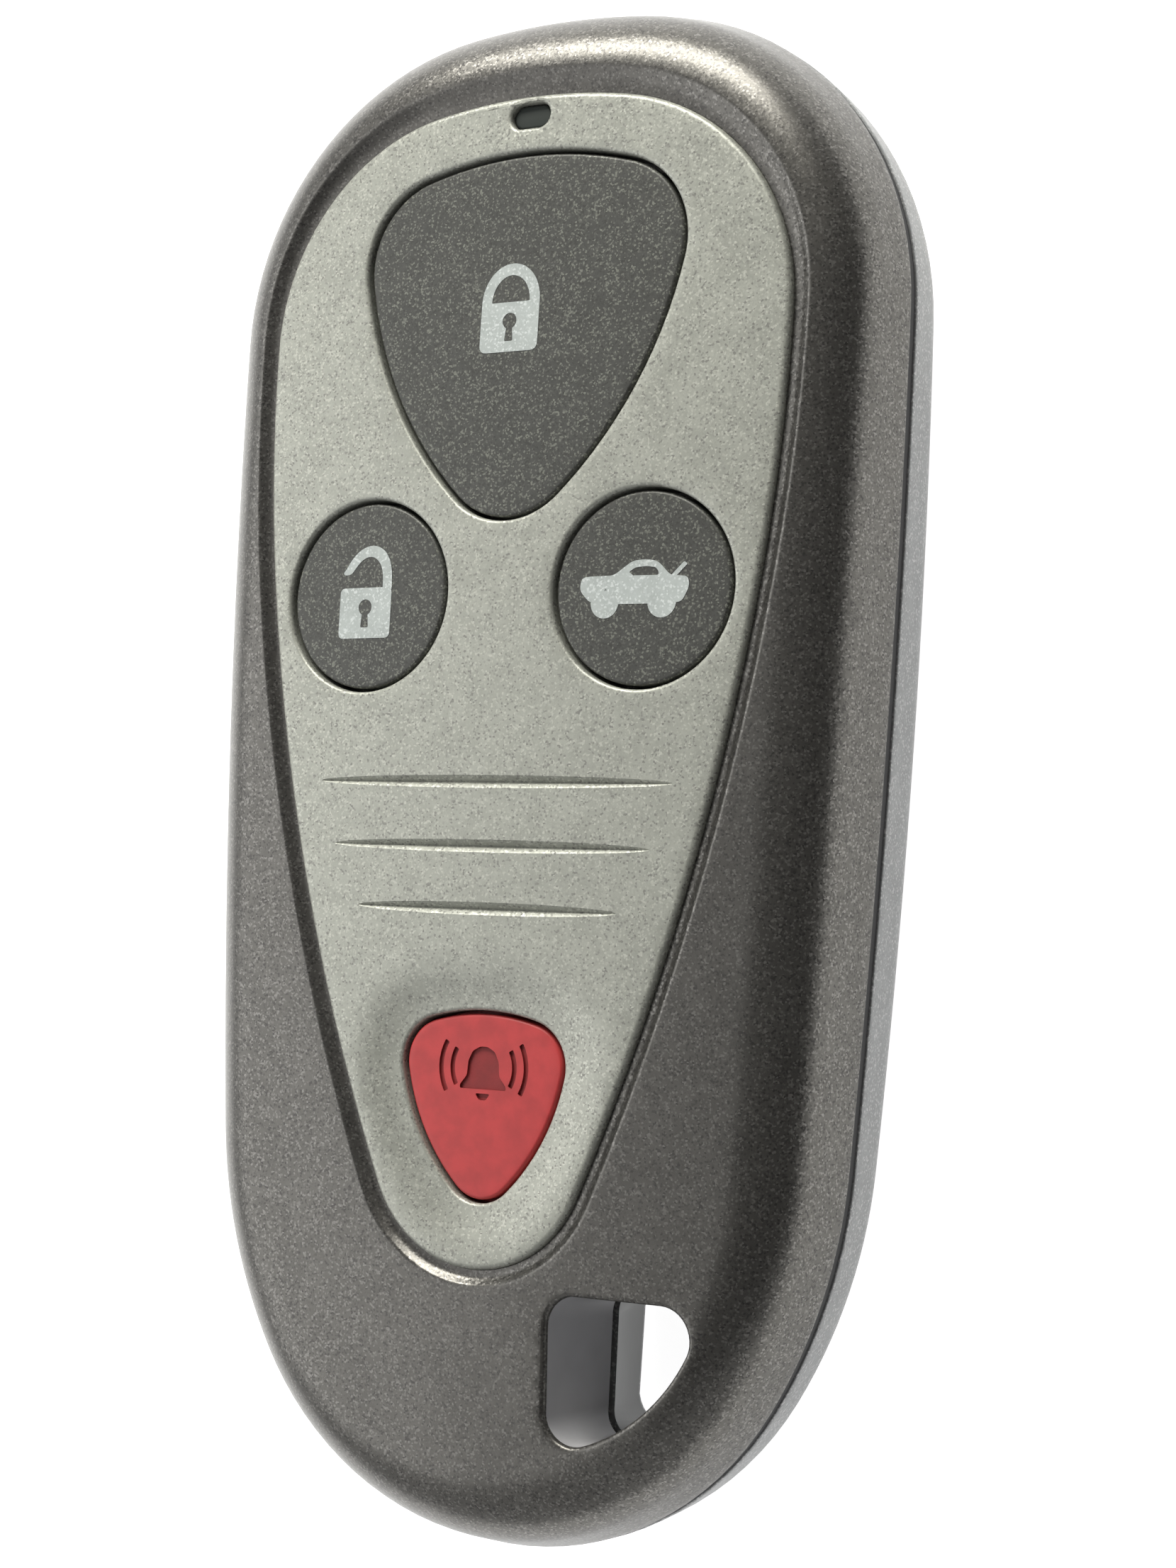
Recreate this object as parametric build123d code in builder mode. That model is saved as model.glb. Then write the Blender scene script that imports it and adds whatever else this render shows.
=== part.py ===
from build123d import *
from math import asin, cos, degrees, radians, sin, sqrt, tan
import os

os.makedirs("parts", exist_ok=True)

# A car keyless entry remote that lies on its back, in millimetres.
# X runs across the face, Y towards the status light and Z out of the face.
# The origin is under the middle of the case, on the surface that carries it.

# Case outline, seen from the front
case_length = 75.4
case_width = 37.3           # at the widest place, near the light end
case_crest_share = 1.09     # radius of the light end as a share of the width
case_shoulder_share = 0.421     # the same for the shoulders
case_side_share = 16.6      # the same for the long sides
case_tip_share = 0.431      # the same for the keyring end
case_tail_share = 0.515    # share of the width from the keyring end to the long sides

# Case heights and flanks
face_height = 12.1          # top of the plate's crown above the table
rim_rise = 0.05             # how far the case's crown stands above the plate's
parting_height = 6.36       # middle of the seal between the two shells
seal_thickness = 0.6
seal_sunk = 0.12            # how far the seal's edge lies inside the outline
front_lean = 14.5           # degrees that the front flank leans in
back_lean = 4.5             # degrees that the back flank leans in
front_roll = 3.7            # radius where the face turns into the flank
back_roll = 3.5             # radius where the back turns into the flank
face_crown_across = 217.0   # radius of the face across the case
face_crown_along = 646.0    # radius of the face along the case
back_crown_across = 120.0
back_crown_along = 500.0
back_land = 0.35            # depth of the crown that the flat land takes off

# Walls and inner space
wall = 2.8                  # from the outline in to the inner space
low_wall = 6.5              # the same beside the shallow lower space
floor_height = 1.3          # inside floor of the rear shell
low_depth = 1.3             # depth of the shallow lower space
deck_thickness = 0.8        # deck of the front shell under the plate
bulkhead_from_tail = 15.5   # from the keyring end to the electronics
bulkhead_thickness = 1.4
tail_ceiling = 2.0          # depth of the front shell's pocket at the keyring end

# Face plate
plate_width = 29.3
plate_share = 0.7542        # the plate's length as a share of the case's
plate_from_top = 4.98       # from the light end of the case
plate_crest = 31.4          # radius of the plate's top edge
plate_shoulder = 11.16      # radius of its shoulders
plate_side = 89.2           # radius of its sides
plate_tip = 6.03            # radius of its tip
plate_tail_share = 0.584    # share of the length from the tip to the end of the sides
plate_seat = 1.45           # thickness of the plate under the middle of its crown
plate_gap = 0.12
slope_sunk = 1.3            # from the plate's crown down to the foot of the recess's sloping wall
slope_rise = 1.1            # height of the sloping cut, which ends above the case
slope_side = 1.45           # width of the sloping cut at the sides
slope_top_end = 3.4         # the same at the light end
slope_tip = 0.9             # the same at the tip

# Buttons, with shares of the plate's length for their heights and for the way down to them
lock_width = 18.2
lock_height_share = 0.3210
lock_share = 0.2094         # from the plate's top edge to the button's middle
round_diameter = 9.6
round_spacing = 15.57
round_share = 0.4305
panic_width = 9.15
panic_height_share = 0.1616
panic_share = 0.8647
pick_crest_share = 1.19     # a pick's radii as shares of its height
pick_shoulder_share = 0.246
pick_tip_share = 0.234
pick_tail_share = 0.673     # share of the height from the tip to the end of the shoulders
button_gap = 0.18
button_drop = 0.18          # how far the buttons lie under the plate's face
button_travel = 0.6
button_edge = 0.3
flange_margin = 0.6
flange_thickness = 0.55
flange_gap = 0.1
dish_depth = 0.5            # sunk collar round the panic button
dish_margin = 0.35
dish_slope = 1.5
hole_lip = 0.2

# Grooves across the plate: their length, and the share of the plate's length above them
grooves = ((19.9, 0.5919), (17.8, 0.6463), (14.6, 0.6990))
groove_width = 0.55
groove_depth = 0.3

# Status light
light_length = 2.2
light_width = 1.25
light_from_top = 1.0        # from the plate's top edge to the light's middle
light_sunk = 0.3
light_gap = 0.05
light_flange = 0.25

# Keyring hole: a triangle with round corners and one bulging side
ring_left = 4.3
ring_width = 8.15
ring_length = 7.2
ring_from_tail = 12.6       # from the keyring end to the hole's top edge
ring_bulge = 1.75
ring_corner = 1.5
ring_wall = 1.3

# Electronics
board_thickness = 0.8
board_gap = 0.3
tray_gap = 0.2
switch_size = (4.2, 3.2, 0.6)
membrane_thickness = 0.5
membrane_lip = 1.2
pad_clearance = 0.1
pad_inset = 1.6
battery_diameter = 16.0
battery_thickness = 1.6
battery_gap = 0.2
battery_edge = 0.25
battery_from_bulkhead = 12.0
contact_thickness = 0.2
contact_width = 3.0
positive_length = 9.0
negative_length = 11.5
led_size = (1.6, 0.8, 0.45)
chip_size = (4.0, 3.0, 0.5)
resonator_size = (3.0, 3.0, 0.5)
capacitor_size = (1.6, 0.8, 0.45)
coil_size = (2.4, 1.6, 0.5)
chip_share = 0.6700          # share of the plate's length above the row of chips
aerial_width = 20.0
aerial_length = 13.0
aerial_wire = 0.5
aerial_corner = 2.0
aerial_gap = 6.0            # open part of the loop
chip_spacing = 6.0
chip_row = 3.5              # from the chips to the row of capacitors
light_room = 4.0            # opening in the membrane over the light
tray_window = 16.0
tray_corner = 2.0

# Case screw
screw_x = -6.5
screw_from_tail = 9.5
screw_shank = 1.6
screw_head = 3.2
screw_head_height = 1.0
screw_sunk = 1.0
screw_length = 7.2          # under the head
screw_cross = 0.45
screw_cross_length = 1.9
screw_clearance = 0.1
boss_diameter = 4.6

# Places worked out from the sizes above
half_length = case_length / 2
plate_top = half_length - plate_from_top
plate_length = case_length * plate_share
lock_height = plate_length * lock_height_share
panic_height = plate_length * panic_height_share
deck_top = face_height - plate_seat
deck_bottom = deck_top - deck_thickness
front_base = parting_height + seal_thickness / 2
rear_top = parting_height - seal_thickness / 2
bulkhead_y = -half_length + bulkhead_from_tail
ring_top = -half_length + ring_from_tail
lock_y = plate_top - plate_length * lock_share
round_y = plate_top - plate_length * round_share
panic_y = plate_top - plate_length * panic_share
light_y = plate_top - light_from_top
battery_y = bulkhead_y + battery_from_bulkhead
screw_y = -half_length + screw_from_tail
screw_seat = screw_sunk + screw_head_height
screw_tip = screw_seat + screw_length
screw_bore = screw_shank / 2 + screw_clearance
chip_y = plate_top - plate_length * chip_share
battery_base = floor_height + contact_thickness
board_base = battery_base + battery_thickness + contact_thickness
board_top = board_base + board_thickness
membrane_base = board_top + switch_size[2]
membrane_top = membrane_base + membrane_thickness
flange_top = deck_bottom - flange_gap
flange_base = flange_top - flange_thickness
pad_top = flange_base - button_travel - pad_clearance
beyond = 5.0                # how far cutters run past what they cut
crown_steps = 3             # rows of points in each half of a crowned face


def oval(half, top, tip, crest, shoulder, side, tip_radius, tail, grow=0.0):
    """An outline of tangent arcs between a top and a tip, moved out by the width grow.

    The radii are those of the top, the shoulders, the long sides and the tip. The sides
    end at the height tail over the tip, and flanks of the radius that fits close the gap.
    """
    shoulder_x = half - shoulder
    side_y = top - crest + sqrt((crest - shoulder) ** 2 - shoulder_x ** 2)
    crest_half = degrees(asin(shoulder_x / (crest - shoulder)))
    lean = asin((side_y - tip - tail) / side)
    outward = Vector(cos(lean), -sin(lean))
    side_end = Vector(half - side * (1 - cos(lean)), tip + tail)
    arm = side_end - Vector(0, tip + tip_radius)
    flank = (arm.length ** 2 - tip_radius ** 2) / (2 * (arm.dot(outward) - tip_radius))
    flank_middle = side_end - outward * flank
    tip_half = degrees(asin(-flank_middle.X / (flank - tip_radius)))
    lean = degrees(lean)
    arcs = [
        ((shoulder_x, side_y), shoulder, 90 - crest_half, crest_half - 90),
        ((half - side, side_y), side, 0, -lean),
        ((flank_middle.X, flank_middle.Y), flank, -lean, tip_half + lean - 90),
    ]
    with BuildSketch(mode=Mode.PRIVATE) as face:
        with BuildLine():
            CenterArc((0, top - crest), crest + grow, 90 - crest_half, 2 * crest_half)
            CenterArc((0, tip + tip_radius), tip_radius + grow, -90 - tip_half, 2 * tip_half)
            for middle, radius, start, turn in arcs:
                arc = CenterArc(middle, radius + grow, start, turn)
                mirror(arc, about=Plane.YZ)
        make_face()
    return face.sketch


def case_outline(inset=0.0):
    """The oval of the case, with its sides moved in by the inset."""
    shares = (case_crest_share, case_shoulder_share, case_side_share, case_tip_share, case_tail_share)
    sizes = [case_width * share for share in shares]
    return oval(case_width / 2, half_length, -half_length, *sizes, -inset)


def plate_outline(side=0.0, top=0.0, tip=0.0):
    """The egg of the face plate, grown at its sides, its top and its tip."""
    length = plate_length + top + tip
    return oval(
        plate_width / 2 + side,
        plate_top + top,
        plate_top - plate_length - tip,
        plate_crest,
        plate_shoulder + side,
        plate_side,
        plate_tip + max(side, tip / 2),
        length * plate_tail_share,
    )


def pick_outline(width, height, middle_y, grow=0.0):
    """A rounded triangle, point down, for the lock and panic buttons."""
    top = middle_y + height / 2
    sides = (pick_crest_share, pick_shoulder_share, pick_shoulder_share)
    shares = (*sides, pick_tip_share, pick_tail_share)
    sizes = [height * share for share in shares]
    return oval(width / 2, top, top - height, *sizes, grow)


def round_outline(side, grow=0.0):
    """The round button on the left (side -1) or on the right (side 1)."""
    with BuildSketch(mode=Mode.PRIVATE) as face:
        with Locations((side * round_spacing / 2, round_y)):
            Circle(round_diameter / 2 + grow)
    return face.sketch


def button_outlines(grow=0.0):
    """The outline of each button's hole, by name, grown by the given width."""
    return {
        "lock": pick_outline(lock_width, lock_height, lock_y, grow),
        "unlock": round_outline(-1, grow),
        "trunk": round_outline(1, grow),
        "panic": pick_outline(panic_width, panic_height, panic_y, grow),
    }


def light_outline(grow=0.0):
    with BuildSketch(mode=Mode.PRIVATE) as face:
        with Locations((0, light_y)):
            SlotOverall(light_length + 2 * grow, light_width + 2 * grow)
    return face.sketch


def ring_outline(grow=0.0):
    """The keyring hole, with its edge moved out by the given width."""
    corner = Vector(ring_left, ring_top)
    right = corner + Vector(ring_width, 0)
    low = corner - Vector(0, ring_length)
    outward = (right - low).normalized().rotate(Axis.Z, -90)
    bulge = (right + low) / 2 + outward * ring_bulge
    with BuildSketch(mode=Mode.PRIVATE) as face:
        with BuildLine():
            Line(right, corner)
            Line(corner, low)
            ThreePointArc(low, bulge, right)
        make_face()
        fillet(face.vertices(), ring_corner)
        if grow:
            offset(amount=grow)
    return face.sketch


def crowned(height, across, along, upward=True):
    """All that lies under a face crowned both ways, or over one that bulges down."""
    way = 1 if upward else -1
    steps = [i / crown_steps - 1 for i in range(2 * crown_steps + 1)]
    points = [
        [
            Vector(x, y, height - way * (x ** 2 / across + y ** 2 / along) / 2)
            for y in (case_length * step for step in steps)
        ]
        for x in (case_width * step for step in steps)
    ]
    with BuildPart(mode=Mode.PRIVATE) as slab:
        surface = Face.make_surface_from_array_of_points(points)
        extrude(surface, amount=face_height + beyond, dir=(0, 0, -way))
    return slab.part


def block(outline, low, high):
    """A straight block of the outline between two heights."""
    with BuildPart(mode=Mode.PRIVATE) as solid:
        with BuildSketch(Plane.XY.offset(low)):
            add(outline)
        extrude(amount=high - low)
    return solid.part


def between(low_outline, low, high_outline, high):
    """A block that changes from one outline to another on its way up."""
    with BuildPart(mode=Mode.PRIVATE) as solid:
        with BuildSketch(Plane.XY.offset(low)):
            add(low_outline)
        with BuildSketch(Plane.XY.offset(high)):
            add(high_outline)
        loft(ruled=True)
    return solid.part


def inner_outline(inset):
    """The space for the electronics, down to the bulkhead."""
    with BuildSketch(mode=Mode.PRIVATE) as face:
        add(case_outline(inset))
        with Locations((0, bulkhead_y + inset - wall)):
            Rectangle(case_width, case_length, align=(Align.CENTER, Align.MAX), mode=Mode.SUBTRACT)
    return face.sketch


def tail_outline():
    """The pocket at the keyring end, round the keyring hole's wall and the screw's boss."""
    with BuildSketch(mode=Mode.PRIVATE) as face:
        add(case_outline(wall))
        with Locations((0, bulkhead_y - bulkhead_thickness)):
            Rectangle(case_width, case_length, align=(Align.CENTER, Align.MIN), mode=Mode.SUBTRACT)
        add(ring_outline(ring_wall), mode=Mode.SUBTRACT)
        with Locations((screw_x, screw_y)):
            Circle(boss_diameter / 2, mode=Mode.SUBTRACT)
    return face.sketch


def finish(name, piece):
    """Label a finished piece and write it out."""
    piece.part.label = name
    export_step(piece.part, f"parts/{name}.step")


def small_box(name, size, x, y, base):
    """A small part on the board, written out under its name."""
    with BuildPart() as piece:
        with Locations((x, y, base)):
            Box(*size, align=(Align.CENTER, Align.CENTER, Align.MIN))
    finish(name, piece)


face_crown = crowned(face_height, face_crown_across, face_crown_along)
shell_crown = crowned(face_height + rim_rise, face_crown_across, face_crown_along)
holes = button_outlines()
flanges = button_outlines(flange_margin)

# Front shell: the painted oval, with the plate's recess, the deck under it and the keyring hole
flank_height = face_height + rim_rise - front_base
flank_inset = flank_height * tan(radians(front_lean))
slope_base = face_height - slope_sunk
slope_outline = plate_outline(slope_side, slope_top_end, slope_tip)
seat_outline = plate_outline(plate_gap, plate_gap, plate_gap)
with BuildPart() as front_shell:
    add(between(case_outline(), front_base, case_outline(flank_inset), front_base + flank_height))
    add(shell_crown, mode=Mode.INTERSECT)
    fillet(front_shell.faces().sort_by(Axis.Z)[-1].outer_wire().edges(), front_roll)
    add(block(seat_outline, deck_top, slope_base + beyond), mode=Mode.SUBTRACT)
    add(between(seat_outline, slope_base, slope_outline, slope_base + slope_rise), mode=Mode.SUBTRACT)
    add(block(inner_outline(wall), front_base, deck_bottom), mode=Mode.SUBTRACT)
    add(block(tail_outline(), front_base, front_base + tail_ceiling), mode=Mode.SUBTRACT)
    for outline in holes.values():
        add(block(outline, deck_bottom, deck_top), mode=Mode.SUBTRACT)
    add(block(light_outline(light_gap), deck_bottom, deck_top), mode=Mode.SUBTRACT)
    add(block(ring_outline(), front_base, face_height + beyond), mode=Mode.SUBTRACT)
    with Locations((screw_x, screw_y, front_base)):
        Cylinder(
            screw_bore,
            screw_tip + screw_clearance - front_base,
            align=(Align.CENTER, Align.CENTER, Align.MIN),
            mode=Mode.SUBTRACT,
        )
finish("front_shell", front_shell)

# Face plate: the silver insert with the four button holes, the grooves and the sunk collar
collar_grow = dish_margin + dish_slope * 2
collar = between(
    pick_outline(panic_width, panic_height, panic_y, dish_margin),
    face_height - dish_depth,
    pick_outline(panic_width, panic_height, panic_y, collar_grow),
    face_height + dish_depth,
)
with BuildPart() as face_plate:
    add(block(plate_outline(), deck_top, face_height + beyond))
    add(face_crown, mode=Mode.INTERSECT)
    add(collar, mode=Mode.SUBTRACT)
    for outline in holes.values():
        add(block(outline, deck_top, face_height + beyond), mode=Mode.SUBTRACT)
    add(block(light_outline(light_gap), deck_top, face_height + beyond), mode=Mode.SUBTRACT)
    rims = [wire for face in face_plate.faces() for wire in face.inner_wires()]
    rims = [wire for wire in rims if wire.center().Z > deck_top + hole_lip]
    rims = [wire for wire in rims if wire.bounding_box().size.Y > light_width + light_length]
    fillet([edge for wire in rims for edge in wire.edges()], hole_lip)
    for length, share in grooves:
        with BuildSketch(Plane.XY.offset(face_height - groove_depth)) as groove:
            with Locations((0, plate_top - plate_length * share)):
                Ellipse(length / 2, groove_width / 2)
        extrude(amount=beyond, mode=Mode.SUBTRACT)
finish("face_plate", face_plate)

# Buttons: caps that slide through the plate and the deck, with flanges that stop them from below
caps = button_outlines(-button_gap)
for name, cap_outline in caps.items():
    sunk = button_drop + (dish_depth if name == "panic" else 0)
    cap_crown = crowned(face_height - sunk, face_crown_across, face_crown_along)
    with BuildPart() as button:
        add(block(cap_outline, flange_base, face_height + beyond))
        add(cap_crown, mode=Mode.INTERSECT)
        fillet(button.faces().sort_by(Axis.Z)[-1].outer_wire().edges(), button_edge)
        add(block(flanges[name], flange_base, flange_top))
    finish(f"{name}_button", button)

# Light lens: a clear plug that carries the light from the board to the face
with BuildPart() as light_lens:
    add(block(light_outline(), board_top + led_size[2] + flange_gap, face_height + beyond))
    lens_crown = crowned(face_height - light_sunk, face_crown_across, face_crown_along)
    add(lens_crown, mode=Mode.INTERSECT)
    add(block(light_outline(light_flange), flange_base, deck_bottom))
finish("light_lens", light_lens)

# Seal: the black ring between the two shells
with BuildPart() as parting_seal:
    add(block(case_outline(seal_sunk), rear_top, front_base))
    add(block(case_outline(wall), rear_top, front_base), mode=Mode.SUBTRACT)
finish("parting_seal", parting_seal)

# Rear shell: the silver back, with a flat land to lie on
rear_inset = rear_top * tan(radians(back_lean))
back_crown = crowned(-back_land, back_crown_across, back_crown_along, upward=False)
with BuildPart() as rear_shell:
    add(between(case_outline(rear_inset), -back_land * 2, case_outline(), rear_top))
    add(back_crown, mode=Mode.INTERSECT)
    fillet(rear_shell.faces().sort_by(Axis.Z)[0].outer_wire().edges(), back_roll)
    split(bisect_by=Plane.XY, keep=Keep.TOP)
    add(block(inner_outline(wall), floor_height + low_depth, rear_top), mode=Mode.SUBTRACT)
    add(block(inner_outline(low_wall), floor_height, rear_top), mode=Mode.SUBTRACT)
    add(block(tail_outline(), floor_height + low_depth, rear_top), mode=Mode.SUBTRACT)
    add(block(ring_outline(), -beyond, rear_top), mode=Mode.SUBTRACT)
    with Locations(Plane((screw_x, screw_y, 0), z_dir=(0, 0, -1))):
        CounterBoreHole(screw_bore, screw_head / 2 + screw_clearance, screw_seat, depth=rear_top)
finish("rear_shell", rear_shell)

# Tray: the black frame that carries the board and holds the battery
leg_y = battery_y + negative_length
with BuildPart() as board_tray:
    add(block(inner_outline(low_wall + tray_gap), floor_height, board_base))
    add(block(inner_outline(wall + tray_gap), floor_height + low_depth, board_base))
    with Locations((0, battery_y, floor_height)):
        Cylinder(
            battery_diameter / 2 + battery_gap,
            beyond,
            align=(Align.CENTER, Align.CENTER, Align.MIN),
            mode=Mode.SUBTRACT,
        )
    with Locations((0, battery_y, floor_height)):
        slot = (contact_width + 2 * battery_gap, negative_length + battery_gap, beyond)
        Box(*slot, align=(Align.CENTER, Align.MIN, Align.MIN), mode=Mode.SUBTRACT)
    with BuildSketch(Plane.XY.offset(floor_height)) as window:
        with Locations((0, lock_y)):
            RectangleRounded(tray_window, tray_window, tray_corner)
    extrude(amount=beyond, mode=Mode.SUBTRACT)
finish("board_tray", board_tray)

# Battery and its two contacts
with BuildPart() as battery_cell:
    with Locations((0, battery_y, battery_base)):
        Cylinder(battery_diameter / 2, battery_thickness, align=(Align.CENTER, Align.CENTER, Align.MIN))
    fillet(battery_cell.edges().filter_by(GeomType.CIRCLE), battery_edge)
finish("battery_cell", battery_cell)

with BuildPart() as negative_contact:
    with Locations((0, battery_y, floor_height)):
        strip = (contact_width, negative_length, contact_thickness)
        Box(*strip, align=(Align.CENTER, Align.MIN, Align.MIN))
    with Locations((0, leg_y, floor_height)):
        leg = (contact_width, contact_thickness, board_base - floor_height)
        Box(*leg, align=(Align.CENTER, Align.MAX, Align.MIN))
finish("negative_contact", negative_contact)

contact_base = battery_base + battery_thickness
small_box("positive_contact", (positive_length, contact_width, contact_thickness), 0, battery_y, contact_base)

# Circuit board and what stands on it
with BuildPart() as circuit_board:
    add(block(inner_outline(wall + board_gap), board_base, board_top))
finish("circuit_board", circuit_board)

switch_places = {
    "lock": (0, lock_y),
    "unlock": (-round_spacing / 2, round_y),
    "trunk": (round_spacing / 2, round_y),
    "panic": (0, panic_y),
}
for name, (x, y) in switch_places.items():
    small_box(f"{name}_switch", switch_size, x, y, board_top)

small_box("light_chip", led_size, 0, light_y, board_top)
small_box("transmitter_chip", chip_size, 0, chip_y, board_top)
small_box("resonator", resonator_size, chip_spacing, chip_y, board_top)
small_box("tuning_coil", coil_size, -chip_spacing, chip_y, board_top)
for number, side in enumerate((-1, 1), start=1):
    small_box(f"capacitor_{number}", capacitor_size, side * chip_spacing / 2, chip_y - chip_row, board_top)

with BuildPart() as aerial_loop:
    with BuildSketch(Plane.XY.offset(board_top)):
        with Locations((0, lock_y)):
            RectangleRounded(aerial_width, aerial_length, aerial_corner)
            offset(amount=-aerial_wire, mode=Mode.SUBTRACT)
        with Locations((0, lock_y - aerial_length / 2)):
            Rectangle(aerial_gap, aerial_length / 2, mode=Mode.SUBTRACT)
    extrude(amount=aerial_wire)
finish("aerial_loop", aerial_loop)

# Rubber membrane: a lid over the board with a pad under each button
membrane_edge = wall + board_gap
with BuildPart() as rubber_membrane:
    add(block(inner_outline(membrane_edge), board_top, membrane_top))
    add(block(inner_outline(membrane_edge + membrane_lip), board_top, membrane_base), mode=Mode.SUBTRACT)
    for outline in button_outlines(-pad_inset).values():
        add(block(outline, membrane_base, pad_top))
    with Locations((0, light_y, board_top)):
        Box(light_room, light_room, 2 * beyond, mode=Mode.SUBTRACT)
finish("rubber_membrane", rubber_membrane)

# Case screw with a cross recess
with BuildPart() as case_screw:
    with Locations((screw_x, screw_y, screw_sunk)):
        Cylinder(screw_head / 2, screw_head_height, align=(Align.CENTER, Align.CENTER, Align.MIN))
    with Locations((screw_x, screw_y, screw_seat)):
        Cylinder(screw_shank / 2, screw_length, align=(Align.CENTER, Align.CENTER, Align.MIN))
    with Locations((screw_x, screw_y, screw_sunk)):
        for bar in ((screw_cross, screw_cross_length), (screw_cross_length, screw_cross)):
            Box(*bar, screw_head_height, mode=Mode.SUBTRACT)
finish("case_screw", case_screw)
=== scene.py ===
from math import asin, atan, atan2, cos, pi, radians, sin, sqrt, tan

import bmesh
import bpy
from bpy.props import FloatProperty, FloatVectorProperty, PointerProperty
from mathutils import Matrix, Vector
from mathutils.bvhtree import BVHTree


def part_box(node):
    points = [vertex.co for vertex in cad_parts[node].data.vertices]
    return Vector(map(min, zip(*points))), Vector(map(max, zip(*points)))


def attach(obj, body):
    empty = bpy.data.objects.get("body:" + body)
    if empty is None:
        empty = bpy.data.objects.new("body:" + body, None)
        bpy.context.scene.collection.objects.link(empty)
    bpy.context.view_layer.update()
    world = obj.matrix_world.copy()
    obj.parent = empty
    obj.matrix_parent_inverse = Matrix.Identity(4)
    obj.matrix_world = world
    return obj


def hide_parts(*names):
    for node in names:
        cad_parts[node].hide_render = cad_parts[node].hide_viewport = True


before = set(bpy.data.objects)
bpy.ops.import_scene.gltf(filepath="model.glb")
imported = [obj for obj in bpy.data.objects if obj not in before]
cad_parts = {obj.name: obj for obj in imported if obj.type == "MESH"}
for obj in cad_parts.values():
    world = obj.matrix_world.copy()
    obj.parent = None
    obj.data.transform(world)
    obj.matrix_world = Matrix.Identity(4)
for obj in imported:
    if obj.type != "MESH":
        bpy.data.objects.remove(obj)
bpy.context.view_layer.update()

bl_info = {
    "name": "Car Keyless Entry Remote",
    "version": (1, 0, 0),
    "blender": (4, 5, 0),
    "location": "View3D > Sidebar > Remote",
    "description": "Dresses the packed frame of a car remote with modelled shells, buttons and paints",
    "category": "Add Mesh",
}

MM = 0.001
BEYOND = 3 * MM             # how far cutters run past what they cut
SMOOTH_ANGLE = radians(32)
LIP_END = radians(72)       # how far round the lip of the keyring hole is drawn before it runs out straight
LIP_OVER = 0.6 * MM         # length of that straight run
BUTTONS = ("lock", "unlock", "trunk", "panic")

# Steps along the arcs of an outline: crest, shoulder, side, flank and tip
ARC_STEPS = (10, 22, 18, 14, 16)

# Names of the hidden pieces and the finish that each one gets
INNER_FINISHES = {
    "board_tray": "black_plastic",
    "battery_cell": "steel",
    "negative_contact": "spring_steel",
    "positive_contact": "spring_steel",
    "circuit_board": "board_laminate",
    "lock_switch": "chip_resin",
    "unlock_switch": "chip_resin",
    "trunk_switch": "chip_resin",
    "panic_switch": "chip_resin",
    "transmitter_chip": "chip_resin",
    "resonator": "steel",
    "tuning_coil": "ceramic",
    "capacitor_1": "ceramic",
    "capacitor_2": "ceramic",
    "light_chip": "clear_resin",
    "aerial_loop": "copper",
    "rubber_membrane": "grey_rubber",
    "parting_seal": "black_seal",
    "case_screw": "screw_steel",
}


def length(name, description, default):
    """A size in metres that a user may change."""
    return FloatProperty(name=name, description=description, default=default * MM, unit="LENGTH", precision=5)


def share(name, description, default):
    """A plain ratio that a user may change."""
    return FloatProperty(name=name, description=description, default=default, precision=4)


def angle(name, description, default):
    """An angle in degrees that a user may change."""
    return FloatProperty(name=name, description=description, default=radians(default), subtype="ANGLE")


def colour(name, description, default):
    """A colour that a user may change."""
    return FloatVectorProperty(
        name=name, description=description, default=default, size=3, subtype="COLOR", min=0, max=1
    )


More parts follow.
